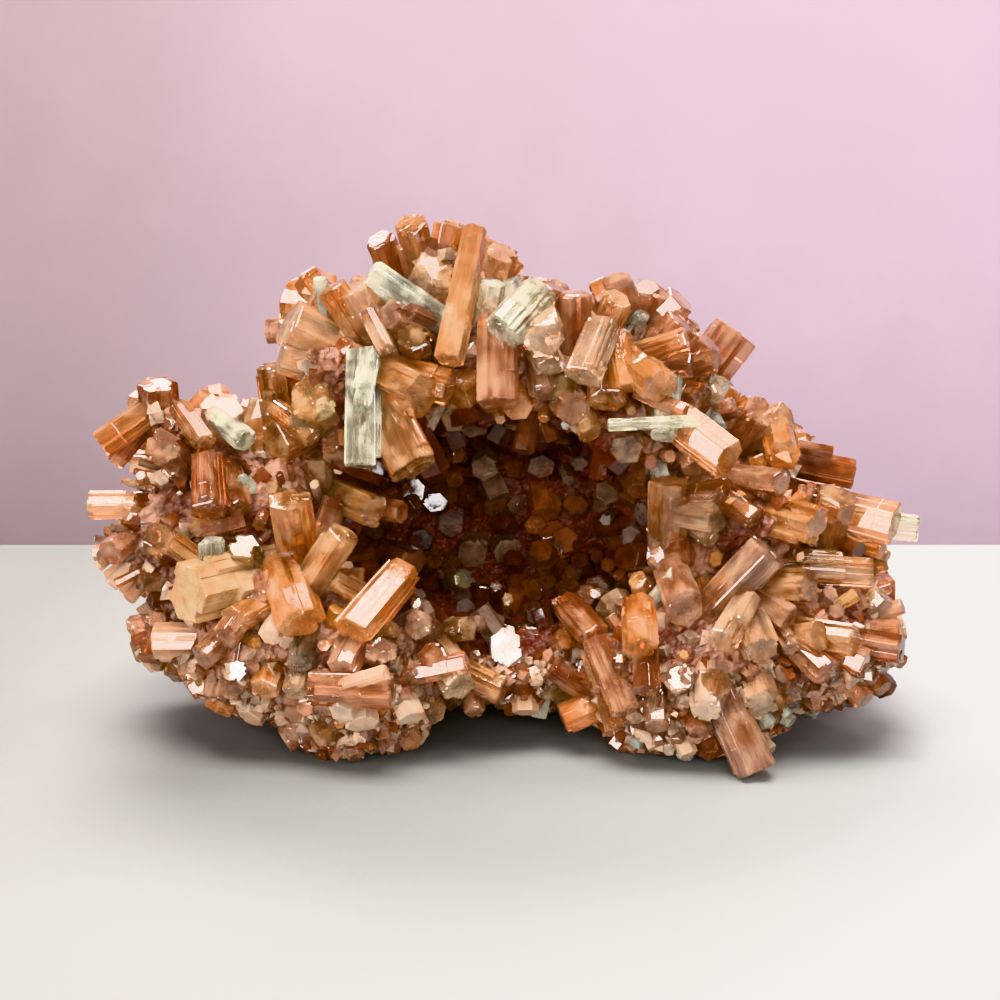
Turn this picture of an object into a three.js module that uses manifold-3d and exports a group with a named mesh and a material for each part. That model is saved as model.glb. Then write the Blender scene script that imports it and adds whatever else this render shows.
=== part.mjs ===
// Aragonite cluster: stubby six-sided crystals grown together on a lumpy body, shaped like a
// small cave. The cave's hollow faces the front and is lined with a crust of smaller crystals.
// Millimetres, +Z up, the hollow faces -Y. The origin is under the middle, on the resting plane.
import * as THREE from "three";
import { mergeVertices } from "three/addons/utils/BufferGeometryUtils.js";
import Module from "manifold-3d";

const wasm = await Module();
wasm.setup();

// The layout's own coordinates of the point that becomes the origin.
const FOOT_CENTRE_X = 0.53;
const FOOT_CENTRE_Y = 5.14;

// The crystals are laid out as someone who stands in front sees them: a row names a spot on an
// upright plane, and the crystal's free end lies on the line of sight through that spot.
const EYE = new THREE.Vector3(-0.8, -225.8, 72.9);
const FRONT_PLANE_Y = -8;

// Crystals. Only those of LEAST_RADIUS or more are solid here. The finer ones are left out.
const SIDES = 6;
const FOOT_TAPER = 0.92;
const ROOTED_LENGTH = 3;
const SQUASH = 0.12;
const LEAST_RADIUS = 2.1;

// A crystal's end stands at least LEAST_RISE and RISE_SHARE of its radius before the body.
const LEAST_RISE = 1.2;
const RISE_SHARE = 0.5;

// Filling crystals, spread over the body between the placed ones. Those at the front are smaller.
const FILL_SPACING = 13.2;
const FILL_RADIUS = [3, 4.6];
const FILL_RISE = [3, 6];
const FILL_TILT = 0.9;
const FILL_LOWEST = 5;
const FILL_SEED = 5000;
const FRONT_FILL_DEPTH = 4;
const FRONT_FILL_SCALE = 0.6;

// Crust of the hollow.
const CRUST_GAP = 0.35;
const CRUST_THICKNESS = 1.6;
const CRUST_FRONT = -10;
const CRUST_COUNT = 22;
const CRUST_RADIUS = [1.8, 2.5];
const CRUST_RISE = [1.5, 3.5];
const CRUST_TURN_FORWARD = 0.45;
const CRUST_LEAST_RADIUS = 1.3;
const CRUST_SEED = 9000;

// How near two crystals' sides may come, as shares of the two radii.
const STANDING_SHARE = 0.7;
const ARRIVING_SHARE = 0.6;

// Body: lumps as centre and radii. The main ones melt into one skin, the feet are joined to it.
const MAIN_LUMPS = [
  [[-36, 1, 24], [12, 19, 16]],
  [[-41, -3, 34], [8, 10, 8]],
  [[-27, -4, 29], [9, 10, 11]],
  [[-18, 1, 43], [12, 16, 12]],
  [[-12, -4, 49.5], [14, 9, 8]],
  [[11, -4, 46.5], [14, 9, 8]],
  [[0, 3, 45.5], [16, 14.5, 10]],
  [[-6, -2, 53], [9, 9, 7]],
  [[17, 3, 39.5], [14, 17, 10.5]],
  [[31, 2, 28.5], [11.5, 17, 11]],
  [[36, 3, 19], [11, 20, 13]],
  [[27, -5, 22], [9, 9, 9]],
  [[0, 20, 22], [39, 13, 23]],
  [[0, 3, 11], [21, 18, 8]],
];
const FOOT_LUMPS = [
  [[-19, -14.5, 10.8], [11.5, 9, 11.4]],
  [[-30, -12, 14], [11, 10, 9.5]],
  [[23, -14, 10], [14, 10, 10.4]],
  [[38.5, -9, 13.5], [10.5, 11.5, 9]],
];
const ALL_LUMPS = MAIN_LUMPS.concat(FOOT_LUMPS);
const BODY_CENTRE = [0, 10, 22];
const BODY_DETAIL = 4;
const FOOT_DETAIL = 1;
const SWELL = 0.04;

// Hollow: a wide oval and a smaller one that opens its lower lip.
const HOLLOW_LUMPS = [
  [[-1, -6, 27], [20.5, 20, 14.5]],
  [[3, -12, 20], [9, 12, 7.5]],
];
const HOLLOW_DETAIL = 1;

const GOLDEN_ANGLE = 2.39996;
const AREA_POWER = 1.6;
const RANDOM_FACTOR = 16807;
const RANDOM_MODULUS = 2147483647;
const SEED_STEP = 7919;
const SEED_START = 104729;

// Placed crystals, one row each: across, height and depth of the free end; lean as a clock
// angle in degrees, 0 up and 90 to the right; turn towards the front in degrees; radius; length.
const CROWN = [
  [-11.7, 64.8, -4, 348, 35, 2.6, 7],
  [-15.6, 63, 0, 340, 30, 2.1, 6],
  [-7.2, 48, -14, 192, 28, 2.2, 14.5],
  [-0.6, 61.5, -2, 15, 20, 2.8, 8],
  [-8.5, 59.5, 0, 30, 40, 3.4, 7],
  [-16.8, 58.7, -10, 305, 10, 2.2, 10],
  [-22.8, 58.3, -9, 355, 10, 1.1, 6],
  [-21.5, 57.2, -10, 328, 10, 2.1, 10],
  [-18.5, 57, -10, 330, 10, 2.6, 11],
  [-26.8, 52.8, -10, 300, 20, 3.6, 11],
  [-28, 48.7, -11, 290, 15, 2.4, 10],
  [-28.3, 47.5, -6, 355, 15, 2.9, 9],
  [-14.5, 53.8, -13, 300, 45, 2.2, 6],
  [-11.5, 51, -15, 0, 65, 2.3, 6],
  [-14.8, 49.3, -16, 150, 35, 1.3, 3],
  [8.5, 56.5, -8, 0, 10, 2.2, 6],
  [5.8, 57.2, -2, 30, 10, 1.6, 4],
  [14, 54.6, -5, 10, 20, 1.7, 4],
  [16.8, 53.8, -4, 30, 30, 1.3, 4],
  [22.3, 50.7, -12, 70, 10, 2.2, 8],
  [21.5, 53, -7, 40, 20, 2.1, 6],
  [25, 50.3, -4, 35, 20, 2.1, 5],
];
const BROW = [
  [-29, 37.8, -12, 250, 50, 2.8, 7],
  [-24.5, 43.5, -12, 330, 60, 3.2, 7],
  [-22, 42.6, -15, 60, 30, 1.4, 3],
  [-24, 38.5, -14, 120, 30, 1.6, 4],
  [-18.2, 34.8, -18, 180, 15, 2.5, 11],
  [-18, 42, -19, 190, 35, 1.5, 5],
  [-10.5, 43.5, -17, 110, 40, 3.4, 10],
  [-7, 44.8, -14, 100, 20, 2.4, 7],
  [-11.5, 34.5, -17, 150, 25, 3.6, 10],
  [-1, 42.6, -17, 180, 25, 3, 8],
  [-0.5, 51.5, -17, 225, 38, 2.9, 5],
  [4.6, 50.6, -17, 160, 65, 2.9, 5],
  [5.5, 47.3, -14, 150, 45, 2.2, 4],
  [4.5, 44, -14, 170, 50, 1.8, 5],
  [9.5, 46, -16, 190, 35, 2.6, 5],
  [19, 44.9, -18, 130, 60, 2.8, 6],
  [15, 44.5, -15, 170, 30, 2, 4],
  [12.5, 43, -13, 180, 50, 2.6, 6],
  [7.2, 43, -14, 180, 60, 2, 5],
  [9, 40.1, -13, 180, 70, 1.5, 4],
  [10.5, 38.7, -9, 160, 40, 1.8, 5],
  [12.6, 40, -19, 268, 5, 0.8, 8],
  [19.5, 38.5, -16, 190, 30, 2, 5],
  [22.3, 41.6, -17, 110, 30, 1.2, 4],
  [27.8, 35.6, -18, 125, 35, 2.9, 9],
  [23, 47.5, -9, 90, 20, 1.9, 5],
  [24.5, 43, -12, 100, 40, 2.4, 6],
];
const RIGHT_FLANK = [
  [31.5, 41.8, -9, 20, 45, 2.6, 6],
  [34.8, 40.5, -10, 60, 45, 2.6, 6],
  [34.5, 36, -13, 180, 62, 2.7, 4],
  [40.7, 36.5, -4, 100, 5, 1, 5],
  [43.5, 33.8, -3, 100, 10, 2.1, 7],
  [41.5, 31.2, -10, 10, 25, 2.9, 8],
  [39.2, 27.3, -17, 100, 40, 3.1, 9],
  [49, 27.5, -8, 100, 25, 3, 8],
  [51.8, 26.8, -3, 95, 10, 2.1, 8],
  [46.3, 21.2, -13, 92, 5, 2.2, 10],
  [47.8, 18.5, -12, 40, 10, 2.1, 7],
  [33, 24.2, -18, 40, 10, 3.4, 9],
  [21.5, 31.2, -13, 0, 15, 1.6, 5],
  [20.3, 33, -11, 0, 10, 2.6, 6],
  [28, 32, -9, 70, 35, 1.9, 4],
  [26.5, 28, -12, 90, 40, 2.3, 3],
  [25.7, 25.8, -14, 120, 60, 1.6, 4],
  [31.5, 28, -11, 120, 40, 2, 5],
  [34.5, 32.8, -11, 90, 40, 2.2, 6],
  [22.7, 24, -13, 60, 45, 2.2, 4],
  [44.5, 12.3, -14, 90, 30, 2.3, 7],
];
const RIGHT_FOOT = [
  [22.8, 16.5, -20, 160, 70, 3, 6],
  [30.5, 17, -19, 30, 50, 2.4, 6],
  [27.5, 12, -23, 225, 50, 2.5, 5],
  [32.6, 11, -23, 160, 60, 2.6, 5],
  [36, 15, -19, 120, 40, 2, 5],
  [36.4, 11.2, -19, 150, 60, 1.4, 4],
  [32.5, 3.8, -22, 170, 65, 2.4, 5],
  [32.5, -5.2, -25, 155, 15, 2.8, 10],
  [15.3, 2.6, -22, 155, 32, 2.1, 7],
  [14.2, 0.6, -20, 160, 22, 1.6, 7],
  [7.2, 1.9, -17, 250, 10, 2.1, 8],
  [5.8, 9, -14, 305, 10, 1.9, 7],
  [3.4, 5.7, -9, 275, 10, 1.3, 6],
  [8.5, 13, -16, 30, 60, 2.4, 5],
  [11.5, 13, -16, 130, 50, 2, 4],
  [17.3, 11.2, -20, 180, 60, 2.3, 5],
  [14.6, 10, -16, 0, 40, 1, 4],
  [18, 5.5, -15, 180, 45, 1.9, 5],
  [16.6, 20.4, -14, 340, 40, 1.5, 4],
  [18.9, 23.4, -13, 300, 60, 2, 4],
  [21.7, 20.8, -17, 30, 30, 1.6, 5],
  [19.5, 0.8, -22, 180, 45, 2, 4],
  [25.5, 3, -23, 190, 60, 2.3, 4],
  [22, 7.5, -22, 330, 65, 2.2, 5],
  [27.5, 6.5, -23, 60, 60, 2, 4],
  [41, 8, -17, 130, 45, 2.2, 5],
  [46, 9.2, -12, 110, 30, 2, 5],
  [40, 13, -17, 60, 50, 2.1, 5],
  [38.5, 19.5, -17, 80, 40, 2.5, 6],
  [41, 3.6, -14, 150, 30, 1.9, 4],
];
const LEFT_FOOT = [
  [0, 11.6, -16, 20, 75, 2.5, 4],
  [-5, 13.8, -18, 60, 60, 1.7, 4],
  [-3.2, 14.7, -16, 60, 50, 1.2, 4],
  [-11.3, 14.5, -19, 330, 60, 2.2, 5],
  [-11.4, 17.3, -18, 0, 50, 0.9, 3],
  [-16.5, 29, -15, 100, 50, 2.4, 8],
  [-13, 29, -14, 90, 35, 1.6, 8],
  [-40.5, 18.5, -22, 270, 50, 4.2, 11],
  [-42.3, 25.3, -17, 310, 10, 1.8, 12],
  [-37, 25.5, -13, 0, 10, 1.6, 5],
  [-33.2, 24.6, -15, 0, 50, 2.2, 5],
  [-27.3, 30.8, -19, 355, 20, 3.1, 11],
  [-20.3, 26.3, -20, 33, 10, 2.6, 9],
  [-22, 20.5, -20, 305, 15, 1.6, 6],
  [-19.7, 13.5, -23, 225, 42, 2.8, 8],
  [-26, 14.5, -24, 150, 50, 3.2, 7],
  [-30, 12.7, -23, 200, 60, 1.6, 4],
  [-28, 12, -23, 150, 60, 1.2, 4],
  [-36, 12.5, -20, 220, 45, 2, 5],
  [-34.3, 8.3, -19, 200, 65, 1.2, 4],
  [-26.3, 9.3, -24, 180, 60, 2, 5],
  [-14.5, 5.5, -26, 90, 10, 2.4, 7],
  [-15.2, 8.1, -27, 70, 10, 1.1, 3],
  [-5, 9.5, -22, 75, 10, 1.6, 8],
  [-6, 6, -22, 140, 55, 2.5, 6],
  [-0.3, 5.6, -18, 110, 25, 2.1, 6],
  [-4, 2.8, -17, 170, 50, 1.6, 4],
  [-27, 5.5, -24, 190, 60, 1.9, 5],
  [-31, 5.7, -21, 200, 60, 2, 5],
  [-23, 3.2, -25, 180, 60, 1.7, 5],
  [-36.5, 4.5, 0, 190, 20, 2.5, 8],
  [-16, 11, -24, 20, 55, 2.2, 5],
  [-9.5, 10.5, -22, 340, 60, 2, 5],
  [-21, 8.5, -24, 210, 50, 2.2, 5],
  [-18.5, 1, -23, 170, 50, 2.1, 4],
  [-12, 1.8, -22, 150, 45, 1.9, 4],
  [-34.5, 15, -20, 250, 55, 2.2, 5],
  [-31, 19.5, -20, 330, 60, 2.4, 5],
  [-24.5, 20, -20, 20, 55, 1.9, 5],
  [-39, 10, -16, 235, 40, 2.1, 5],
  [-33, 1.9, -17, 210, 40, 2, 4],
];
const LEFT_FLANK = [
  [-45.5, 17.5, -8, 325, -8, 2.1, 9],
  [-46.3, 21, -9, 280, 30, 2.4, 6],
  [-47, 25.5, -6, 285, 20, 2, 6],
  [-52.3, 30, -8, 270, 0, 2.1, 9],
  [-50.6, 37.5, -7, 236, 15, 2.1, 7],
  [-49, 35.2, -4, 220, 10, 1.3, 4],
  [-43.2, 45.3, -5, 0, 15, 2.8, 5],
  [-35.4, 42.3, -10, 10, 50, 2.9, 6],
  [-43, 37.2, -15, 330, 65, 2.7, 6],
  [-37.5, 37.7, -14, 135, 40, 1.8, 4],
  [-32.5, 38, -14, 120, 40, 1.8, 4],
  [-37.2, 29, -17, 170, 45, 2.5, 5],
  [-32.5, 32.5, -13, 60, 40, 1.8, 5],
  [-33.5, 29.3, -12, 150, 50, 2, 5],
];
const HOLLOW_CRYSTALS = [
  [-4.3, 23.5, 8, 200, 80, 2.5, 6],
  [0, 23.9, 8, 100, 78, 2.1, 6],
  [-2.7, 34.5, 6, 180, 72, 2.2, 6],
  [-4, 39.8, -5, 180, 55, 2.4, 5],
  [1, 40.5, -5, 180, 55, 2.1, 5],
  [6.3, 40, -5, 180, 50, 1.3, 4],
  [9.2, 35, 5, 180, 70, 1.4, 5],
  [7.8, 33, 5, 150, 70, 0.9, 5],
  [7.3, 25.5, 5, 0, 75, 2.2, 6],
  [12.5, 28, 2, 270, 70, 1, 5],
  [2.8, 13.3, -10, 0, 60, 1.5, 5],
  [11.3, 18.5, -8, 300, 60, 1, 4],
  [-11.8, 22.5, -3, 90, 60, 2.3, 5],
  [-5.2, 20.4, -3, 45, 65, 1.6, 4],
  [-1.2, 19.5, -3, 0, 60, 1.1, 4],
  [0.2, 17.7, -7, 0, 60, 1, 4],
  [6.8, 17.3, -8, 0, 55, 1.1, 4],
];

// The same numbers for the same seed, between 0 and 1.
function makeRandom(seed) {
  let state = (seed * SEED_STEP + SEED_START) % RANDOM_MODULUS;
  const next = () => {
    state = (state * RANDOM_FACTOR) % RANDOM_MODULUS;
    return state / RANDOM_MODULUS;
  };
  next();
  next();
  return next;
}

function between([low, high], share) {
  return low + (high - low) * share;
}

function solidOf(geometry) {
  geometry.deleteAttribute("normal");
  geometry.deleteAttribute("uv");
  const merged = mergeVertices(geometry);
  const mesh = new wasm.Mesh({
    numProp: 3,
    vertProperties: new Float32Array(merged.attributes.position.array),
    triVerts: new Uint32Array(merged.index.array),
  });
  return new wasm.Manifold(mesh);
}

function geometryOf(solid) {
  const mesh = solid.getMesh();
  const geometry = new THREE.BufferGeometry();
  geometry.setAttribute("position", new THREE.BufferAttribute(mesh.vertProperties, 3));
  geometry.setIndex(new THREE.BufferAttribute(mesh.triVerts, 1));
  const flat = geometry.toNonIndexed();
  flat.computeVertexNormals();
  return flat;
}

function joined(solids) {
  return wasm.Manifold.union(solids);
}

// The outer skin of the largest connected piece.
function largestOf(solid) {
  const pieces = solid.decompose();
  return pieces.reduce((largest, piece) => (piece.volume() > largest.volume() ? piece : largest));
}

function onSightLine(across, height, depth) {
  const share = (depth - EYE.y) / (FRONT_PLANE_Y - EYE.y);
  const x = EYE.x + (across - EYE.x) * share;
  const z = EYE.z + (height - EYE.z) * share;
  return new THREE.Vector3(x, depth, z);
}

function directionOf(leanDegrees, towardDegrees) {
  const lean = THREE.MathUtils.degToRad(leanDegrees);
  const toward = THREE.MathUtils.degToRad(towardDegrees);
  const across = Math.sin(lean) * Math.cos(toward);
  const up = Math.cos(lean) * Math.cos(toward);
  return new THREE.Vector3(across, -Math.sin(toward), up);
}

// Where a line from a point along a direction enters and leaves a lump, or null if it misses.
function crossing([centre, radii], from, direction) {
  const start = new THREE.Vector3(...centre).sub(from).negate();
  start.set(start.x / radii[0], start.y / radii[1], start.z / radii[2]);
  const step = new THREE.Vector3(direction.x / radii[0], direction.y / radii[1], direction.z / radii[2]);
  const square = step.lengthSq();
  const slope = start.dot(step);
  const root = slope * slope - square * (start.lengthSq() - 1);
  if (root < 0) {
    return null;
  }
  const half = Math.sqrt(root);
  return [(-slope - half) / square, (-slope + half) / square];
}

// How far out a point lies in a lump: 1 is its surface.
function reachIn([centre, radii], point) {
  const x = (point.x - centre[0]) / radii[0];
  const y = (point.y - centre[1]) / radii[1];
  const z = (point.z - centre[2]) / radii[2];
  return Math.sqrt(x * x + y * y + z * z);
}

// One crystal: a six-sided prism with flat ends, turned and squashed a little by its seed.
function crystal({ tip, direction, radius, length, seed }, grown = 0) {
  const random = makeRandom(seed);
  const roll = (random() * Math.PI) / 3;
  const squash = 1 + SQUASH * (2 * random() - 1);
  const across = radius + grown;
  const long = length + 2 * grown;
  const geometry = new THREE.CylinderGeometry(across, across * FOOT_TAPER, long, SIDES);
  geometry.translate(0, grown - long / 2, 0);
  geometry.rotateY(roll);
  geometry.scale(squash, 1, 1 / squash);
  const steep = Math.abs(direction.z) > 0.9;
  const guide = steep ? new THREE.Vector3(0, 1, 0) : new THREE.Vector3(0, 0, 1);
  const side = new THREE.Vector3().crossVectors(direction, guide).normalize();
  const other = new THREE.Vector3().crossVectors(side, direction);
  geometry.applyMatrix4(new THREE.Matrix4().makeBasis(side, direction, other).setPosition(tip));
  return solidOf(geometry);
}

// Distance from the eye to the body along a line of sight, or Infinity past the body's edge.
function distanceToBody(sight) {
  const crossings = ALL_LUMPS.map((lump) => crossing(lump, EYE, sight));
  return Math.min(...crossings.map((ends) => (ends ? ends[0] : Infinity)));
}

// Placed crystals. One whose end would be buried is drawn out along its line of sight.
function placed(rows, firstSeed, onBody = true) {
  return rows.map(([across, height, depth, lean, toward, radius, length], index) => {
    const tip = onSightLine(across, height, depth);
    const sight = tip.clone().sub(EYE);
    const distance = sight.length();
    sight.normalize();
    const farthest = onBody ? distanceToBody(sight) - LEAST_RISE - RISE_SHARE * radius : Infinity;
    tip.copy(EYE).addScaledVector(sight, Math.min(distance, farthest));
    return {
      tip,
      direction: directionOf(lean, toward),
      radius,
      length: length + ROOTED_LENGTH,
      seed: firstSeed + index,
    };
  });
}

// Slow waves that keep the body from being a heap of plain balls.
function swellAt({ x, y, z }) {
  const first = Math.sin(0.31 * x + 0.17 * z);
  const second = Math.sin(0.27 * y - 0.23 * x);
  const third = Math.sin(0.36 * z + 0.2 * y);
  return SWELL * (first + second + third);
}

// The main body: a ball around its centre whose skin is pulled out to the farthest lump.
function mainBody() {
  const geometry = new THREE.IcosahedronGeometry(1, BODY_DETAIL);
  const position = geometry.attributes.position;
  const centre = new THREE.Vector3(...BODY_CENTRE);
  for (let i = 0; i < position.count; i += 1) {
    const direction = new THREE.Vector3().fromBufferAttribute(position, i).normalize();
    const crossings = MAIN_LUMPS.map((lump) => crossing(lump, centre, direction));
    const reach = Math.max(...crossings.map((ends) => (ends ? ends[1] : 0)));
    const point = centre.clone().addScaledVector(direction, reach);
    point.addScaledVector(direction, reach * swellAt(point));
    position.setXYZ(i, point.x, point.y, point.z);
  }
  return solidOf(geometry);
}

function lumpSolid([centre, radii], detail, shrink = 0) {
  const geometry = new THREE.IcosahedronGeometry(1, detail);
  geometry.scale(radii[0] - shrink, radii[1] - shrink, radii[2] - shrink);
  geometry.translate(...centre);
  return solidOf(geometry);
}

function distanceToAxis(point, { tip, direction, length }) {
  const foot = tip.clone().addScaledVector(direction, -length);
  const nearest = new THREE.Vector3();
  new THREE.Line3(foot, tip).closestPointToPoint(point, true, nearest);
  return nearest.distanceTo(point);
}

function isCrowded(tip, radius, neighbours) {
  return neighbours.some((spec) => {
    const room = STANDING_SHARE * spec.radius + ARRIVING_SHARE * radius;
    return distanceToAxis(tip, spec) < room;
  });
}

// Point number index of count spread evenly over a lump, and the way out from it.
function spreadPoint([centre, radii], index, count, twist) {
  const up = 1 - (2 * (index + 0.5)) / count;
  const ring = Math.sqrt(1 - up * up);
  const turn = index * GOLDEN_ANGLE + twist;
  const ball = [ring * Math.cos(turn), ring * Math.sin(turn), up];
  const point = new THREE.Vector3(...ball.map((value, axis) => centre[axis] + value * radii[axis]));
  const normal = new THREE.Vector3(...ball.map((value, axis) => value / radii[axis])).normalize();
  return [point, normal];
}

function lumpArea([, [a, b, c]]) {
  const products = [a * b, a * c, b * c].map((product) => product ** AREA_POWER);
  const mean = (products[0] + products[1] + products[2]) / 3;
  return 4 * Math.PI * mean ** (1 / AREA_POWER);
}

function tilted(direction, random, amount) {
  const sway = new THREE.Vector3(random() - 0.5, random() - 0.5, random() - 0.5);
  return direction.addScaledVector(sway, amount);
}

function fillingCrystals(standing) {
  const found = [];
  ALL_LUMPS.forEach((lump, lumpIndex) => {
    const count = Math.round(lumpArea(lump) / FILL_SPACING ** 2);
    for (let i = 0; i < count; i += 1) {
      const seed = FILL_SEED + 100 * lumpIndex + i;
      const random = makeRandom(seed);
      const [point, normal] = spreadPoint(lump, i, count, lumpIndex);
      const direction = tilted(normal, random, FILL_TILT).normalize();
      const scale = point.y < FRONT_FILL_DEPTH ? FRONT_FILL_SCALE : 1;
      const radius = scale * between(FILL_RADIUS, random());
      const rise = scale * between(FILL_RISE, random());
      const tip = point.clone().addScaledVector(direction, rise);
      const isBuried = ALL_LUMPS.some((other) => other !== lump && reachIn(other, point) < 1.03);
      const isInHollow = HOLLOW_LUMPS.some((part) => reachIn(part, tip) < 1.12);
      const isLow = Math.min(point.z, tip.z) < FILL_LOWEST;
      if (isBuried || isInHollow || isLow || isCrowded(tip, radius, standing.concat(found))) {
        continue;
      }
      found.push({ tip, direction, radius, length: rise + ROOTED_LENGTH, seed });
    }
  });
  return found;
}

// Crystals on the hollow's wall, pointing into it and a little towards its mouth.
function crustCrystals(standing) {
  const found = [];
  const [hollow] = HOLLOW_LUMPS;
  for (let i = 0; i < CRUST_COUNT; i += 1) {
    const seed = CRUST_SEED + i;
    const random = makeRandom(seed);
    const [point, normal] = spreadPoint(hollow, i, CRUST_COUNT, 0);
    const direction = tilted(normal.negate(), random, 1);
    direction.y -= CRUST_TURN_FORWARD;
    direction.normalize();
    const radius = between(CRUST_RADIUS, random());
    const rise = between(CRUST_RISE, random());
    const tip = point.clone().addScaledVector(direction, rise + CRUST_THICKNESS);
    const isOnWall = ALL_LUMPS.some((lump) => reachIn(lump, point) < 0.9);
    if (isOnWall && !isCrowded(tip, radius, standing.concat(found))) {
      found.push({ tip, direction, radius, length: rise + 2 * CRUST_THICKNESS, seed });
    }
  }
  return found;
}

const placedCrystals = [
  ...placed(CROWN, 100),
  ...placed(BROW, 200),
  ...placed(RIGHT_FLANK, 300),
  ...placed(RIGHT_FOOT, 400),
  ...placed(LEFT_FOOT, 500),
  ...placed(LEFT_FLANK, 600),
].filter((spec) => spec.radius >= LEAST_RADIUS);
const fillCrystals = fillingCrystals(placedCrystals);
const feet = FOOT_LUMPS.map((lump) => lumpSolid(lump, FOOT_DETAIL));
const body = joined([mainBody(), ...feet]);
const hollowAt = (shrink) => joined(HOLLOW_LUMPS.map((part) => lumpSolid(part, HOLLOW_DETAIL, shrink)));
const belowRest = solidOf(new THREE.BoxGeometry(300, 300, 100).translate(0, 0, -50));

const overgrown = joined([body, ...fillCrystals.map((spec) => crystal(spec))]);
const hollowed = overgrown.subtract(hollowAt(0));
const clusterWhole = joined([hollowed, ...placedCrystals.map((spec) => crystal(spec))]);
const clusterSolid = largestOf(clusterWhole.subtract(belowRest));

const wallSpecs = placed(HOLLOW_CRYSTALS, 700, false);
const stoutWallSpecs = wallSpecs.filter((spec) => spec.radius >= CRUST_LEAST_RADIUS);
const liningSpecs = stoutWallSpecs.concat(crustCrystals(stoutWallSpecs));
const liningOuter = hollowAt(CRUST_GAP);
const liningShell = body.intersect(liningOuter).subtract(hollowAt(CRUST_GAP + CRUST_THICKNESS));
const liningCrystals = joined(liningSpecs.map((spec) => crystal(spec))).intersect(liningOuter);
const beforeCrust = solidOf(new THREE.BoxGeometry(300, 100, 300).translate(0, CRUST_FRONT - 50, 0));
const rimCrystals = placedCrystals.filter((spec) => {
  const foot = spec.tip.clone().addScaledVector(spec.direction, -spec.length);
  return HOLLOW_LUMPS.some((part) => Math.min(reachIn(part, spec.tip), reachIn(part, foot)) < 1.3);
});
const rimClearance = joined(rimCrystals.map((spec) => crystal(spec, CRUST_GAP)));
const crustWhole = liningShell.add(liningCrystals).subtract(beforeCrust).subtract(rimClearance);
const crustSolid = largestOf(crustWhole);

const clusterMaterial = new THREE.MeshStandardMaterial({
  color: new THREE.Color().setRGB(0.72, 0.42, 0.24, THREE.SRGBColorSpace),
  roughness: 0.25,
  metalness: 0,
});
const crustMaterial = new THREE.MeshStandardMaterial({
  color: new THREE.Color().setRGB(0.36, 0.16, 0.09, THREE.SRGBColorSpace),
  roughness: 0.3,
  metalness: 0,
});

const cluster = new THREE.Mesh(geometryOf(clusterSolid), clusterMaterial);
cluster.name = "cluster";
const hollowCrust = new THREE.Mesh(geometryOf(crustSolid), crustMaterial);
hollowCrust.name = "hollow_crust";

const aragonite = new THREE.Group();
aragonite.name = "aragonite_cluster";
aragonite.add(cluster, hollowCrust);
aragonite.position.set(-FOOT_CENTRE_X, -FOOT_CENTRE_Y, 0);

export default aragonite;
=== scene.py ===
"""Aragonite cluster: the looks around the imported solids.

Every crystal is a six-sided prism with uneven, ridged sides. They grow from a grainy body with a
dark hollow in front. Lengths in the layout are millimetres, and meshes are written in metres.
"""
import math
from collections import namedtuple

import bmesh
import bpy
import numpy as np
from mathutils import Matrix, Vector, noise
from numpy.linalg import norm


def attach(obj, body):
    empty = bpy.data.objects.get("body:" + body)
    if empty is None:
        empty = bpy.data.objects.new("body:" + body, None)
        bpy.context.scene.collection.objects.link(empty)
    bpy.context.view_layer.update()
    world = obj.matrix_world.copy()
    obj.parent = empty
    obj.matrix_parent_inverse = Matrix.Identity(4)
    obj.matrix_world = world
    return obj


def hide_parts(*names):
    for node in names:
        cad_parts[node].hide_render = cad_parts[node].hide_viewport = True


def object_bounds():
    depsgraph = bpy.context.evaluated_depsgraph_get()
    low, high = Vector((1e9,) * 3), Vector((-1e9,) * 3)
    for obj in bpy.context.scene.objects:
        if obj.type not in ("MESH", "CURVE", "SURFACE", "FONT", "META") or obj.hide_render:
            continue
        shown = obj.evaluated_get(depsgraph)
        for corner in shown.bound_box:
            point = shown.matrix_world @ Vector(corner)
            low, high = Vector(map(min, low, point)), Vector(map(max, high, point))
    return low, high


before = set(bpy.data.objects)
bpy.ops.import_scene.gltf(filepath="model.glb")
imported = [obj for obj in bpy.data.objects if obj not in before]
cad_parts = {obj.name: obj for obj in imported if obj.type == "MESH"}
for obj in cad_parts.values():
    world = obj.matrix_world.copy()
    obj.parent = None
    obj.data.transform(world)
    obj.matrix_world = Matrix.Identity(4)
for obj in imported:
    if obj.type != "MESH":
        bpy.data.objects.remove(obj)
cad_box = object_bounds()
scene = bpy.context.scene

MILLIMETRE = 0.001

# The layout's own coordinates of the row's origin, as in the solids.
FOOT_CENTRE = np.array([0.53, 5.14, 0.0])

# Nothing reaches outside the solids' box.
BOX_MARGIN = 0.02
LOW_CORNER = np.array(cad_box[0]) / MILLIMETRE + FOOT_CENTRE + BOX_MARGIN
HIGH_CORNER = np.array(cad_box[1]) / MILLIMETRE + FOOT_CENTRE - BOX_MARGIN

# The camera's place, target and lens. The crystals are laid out as seen from it, on an upright
# plane at this depth.
EYE = np.array([-0.8, -225.8, 72.9])
AIM = np.array([-0.8, 0.0, 29.0])
FOCAL_LENGTH = 63.7
FRONT_PLANE_Y = -8.0

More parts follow.
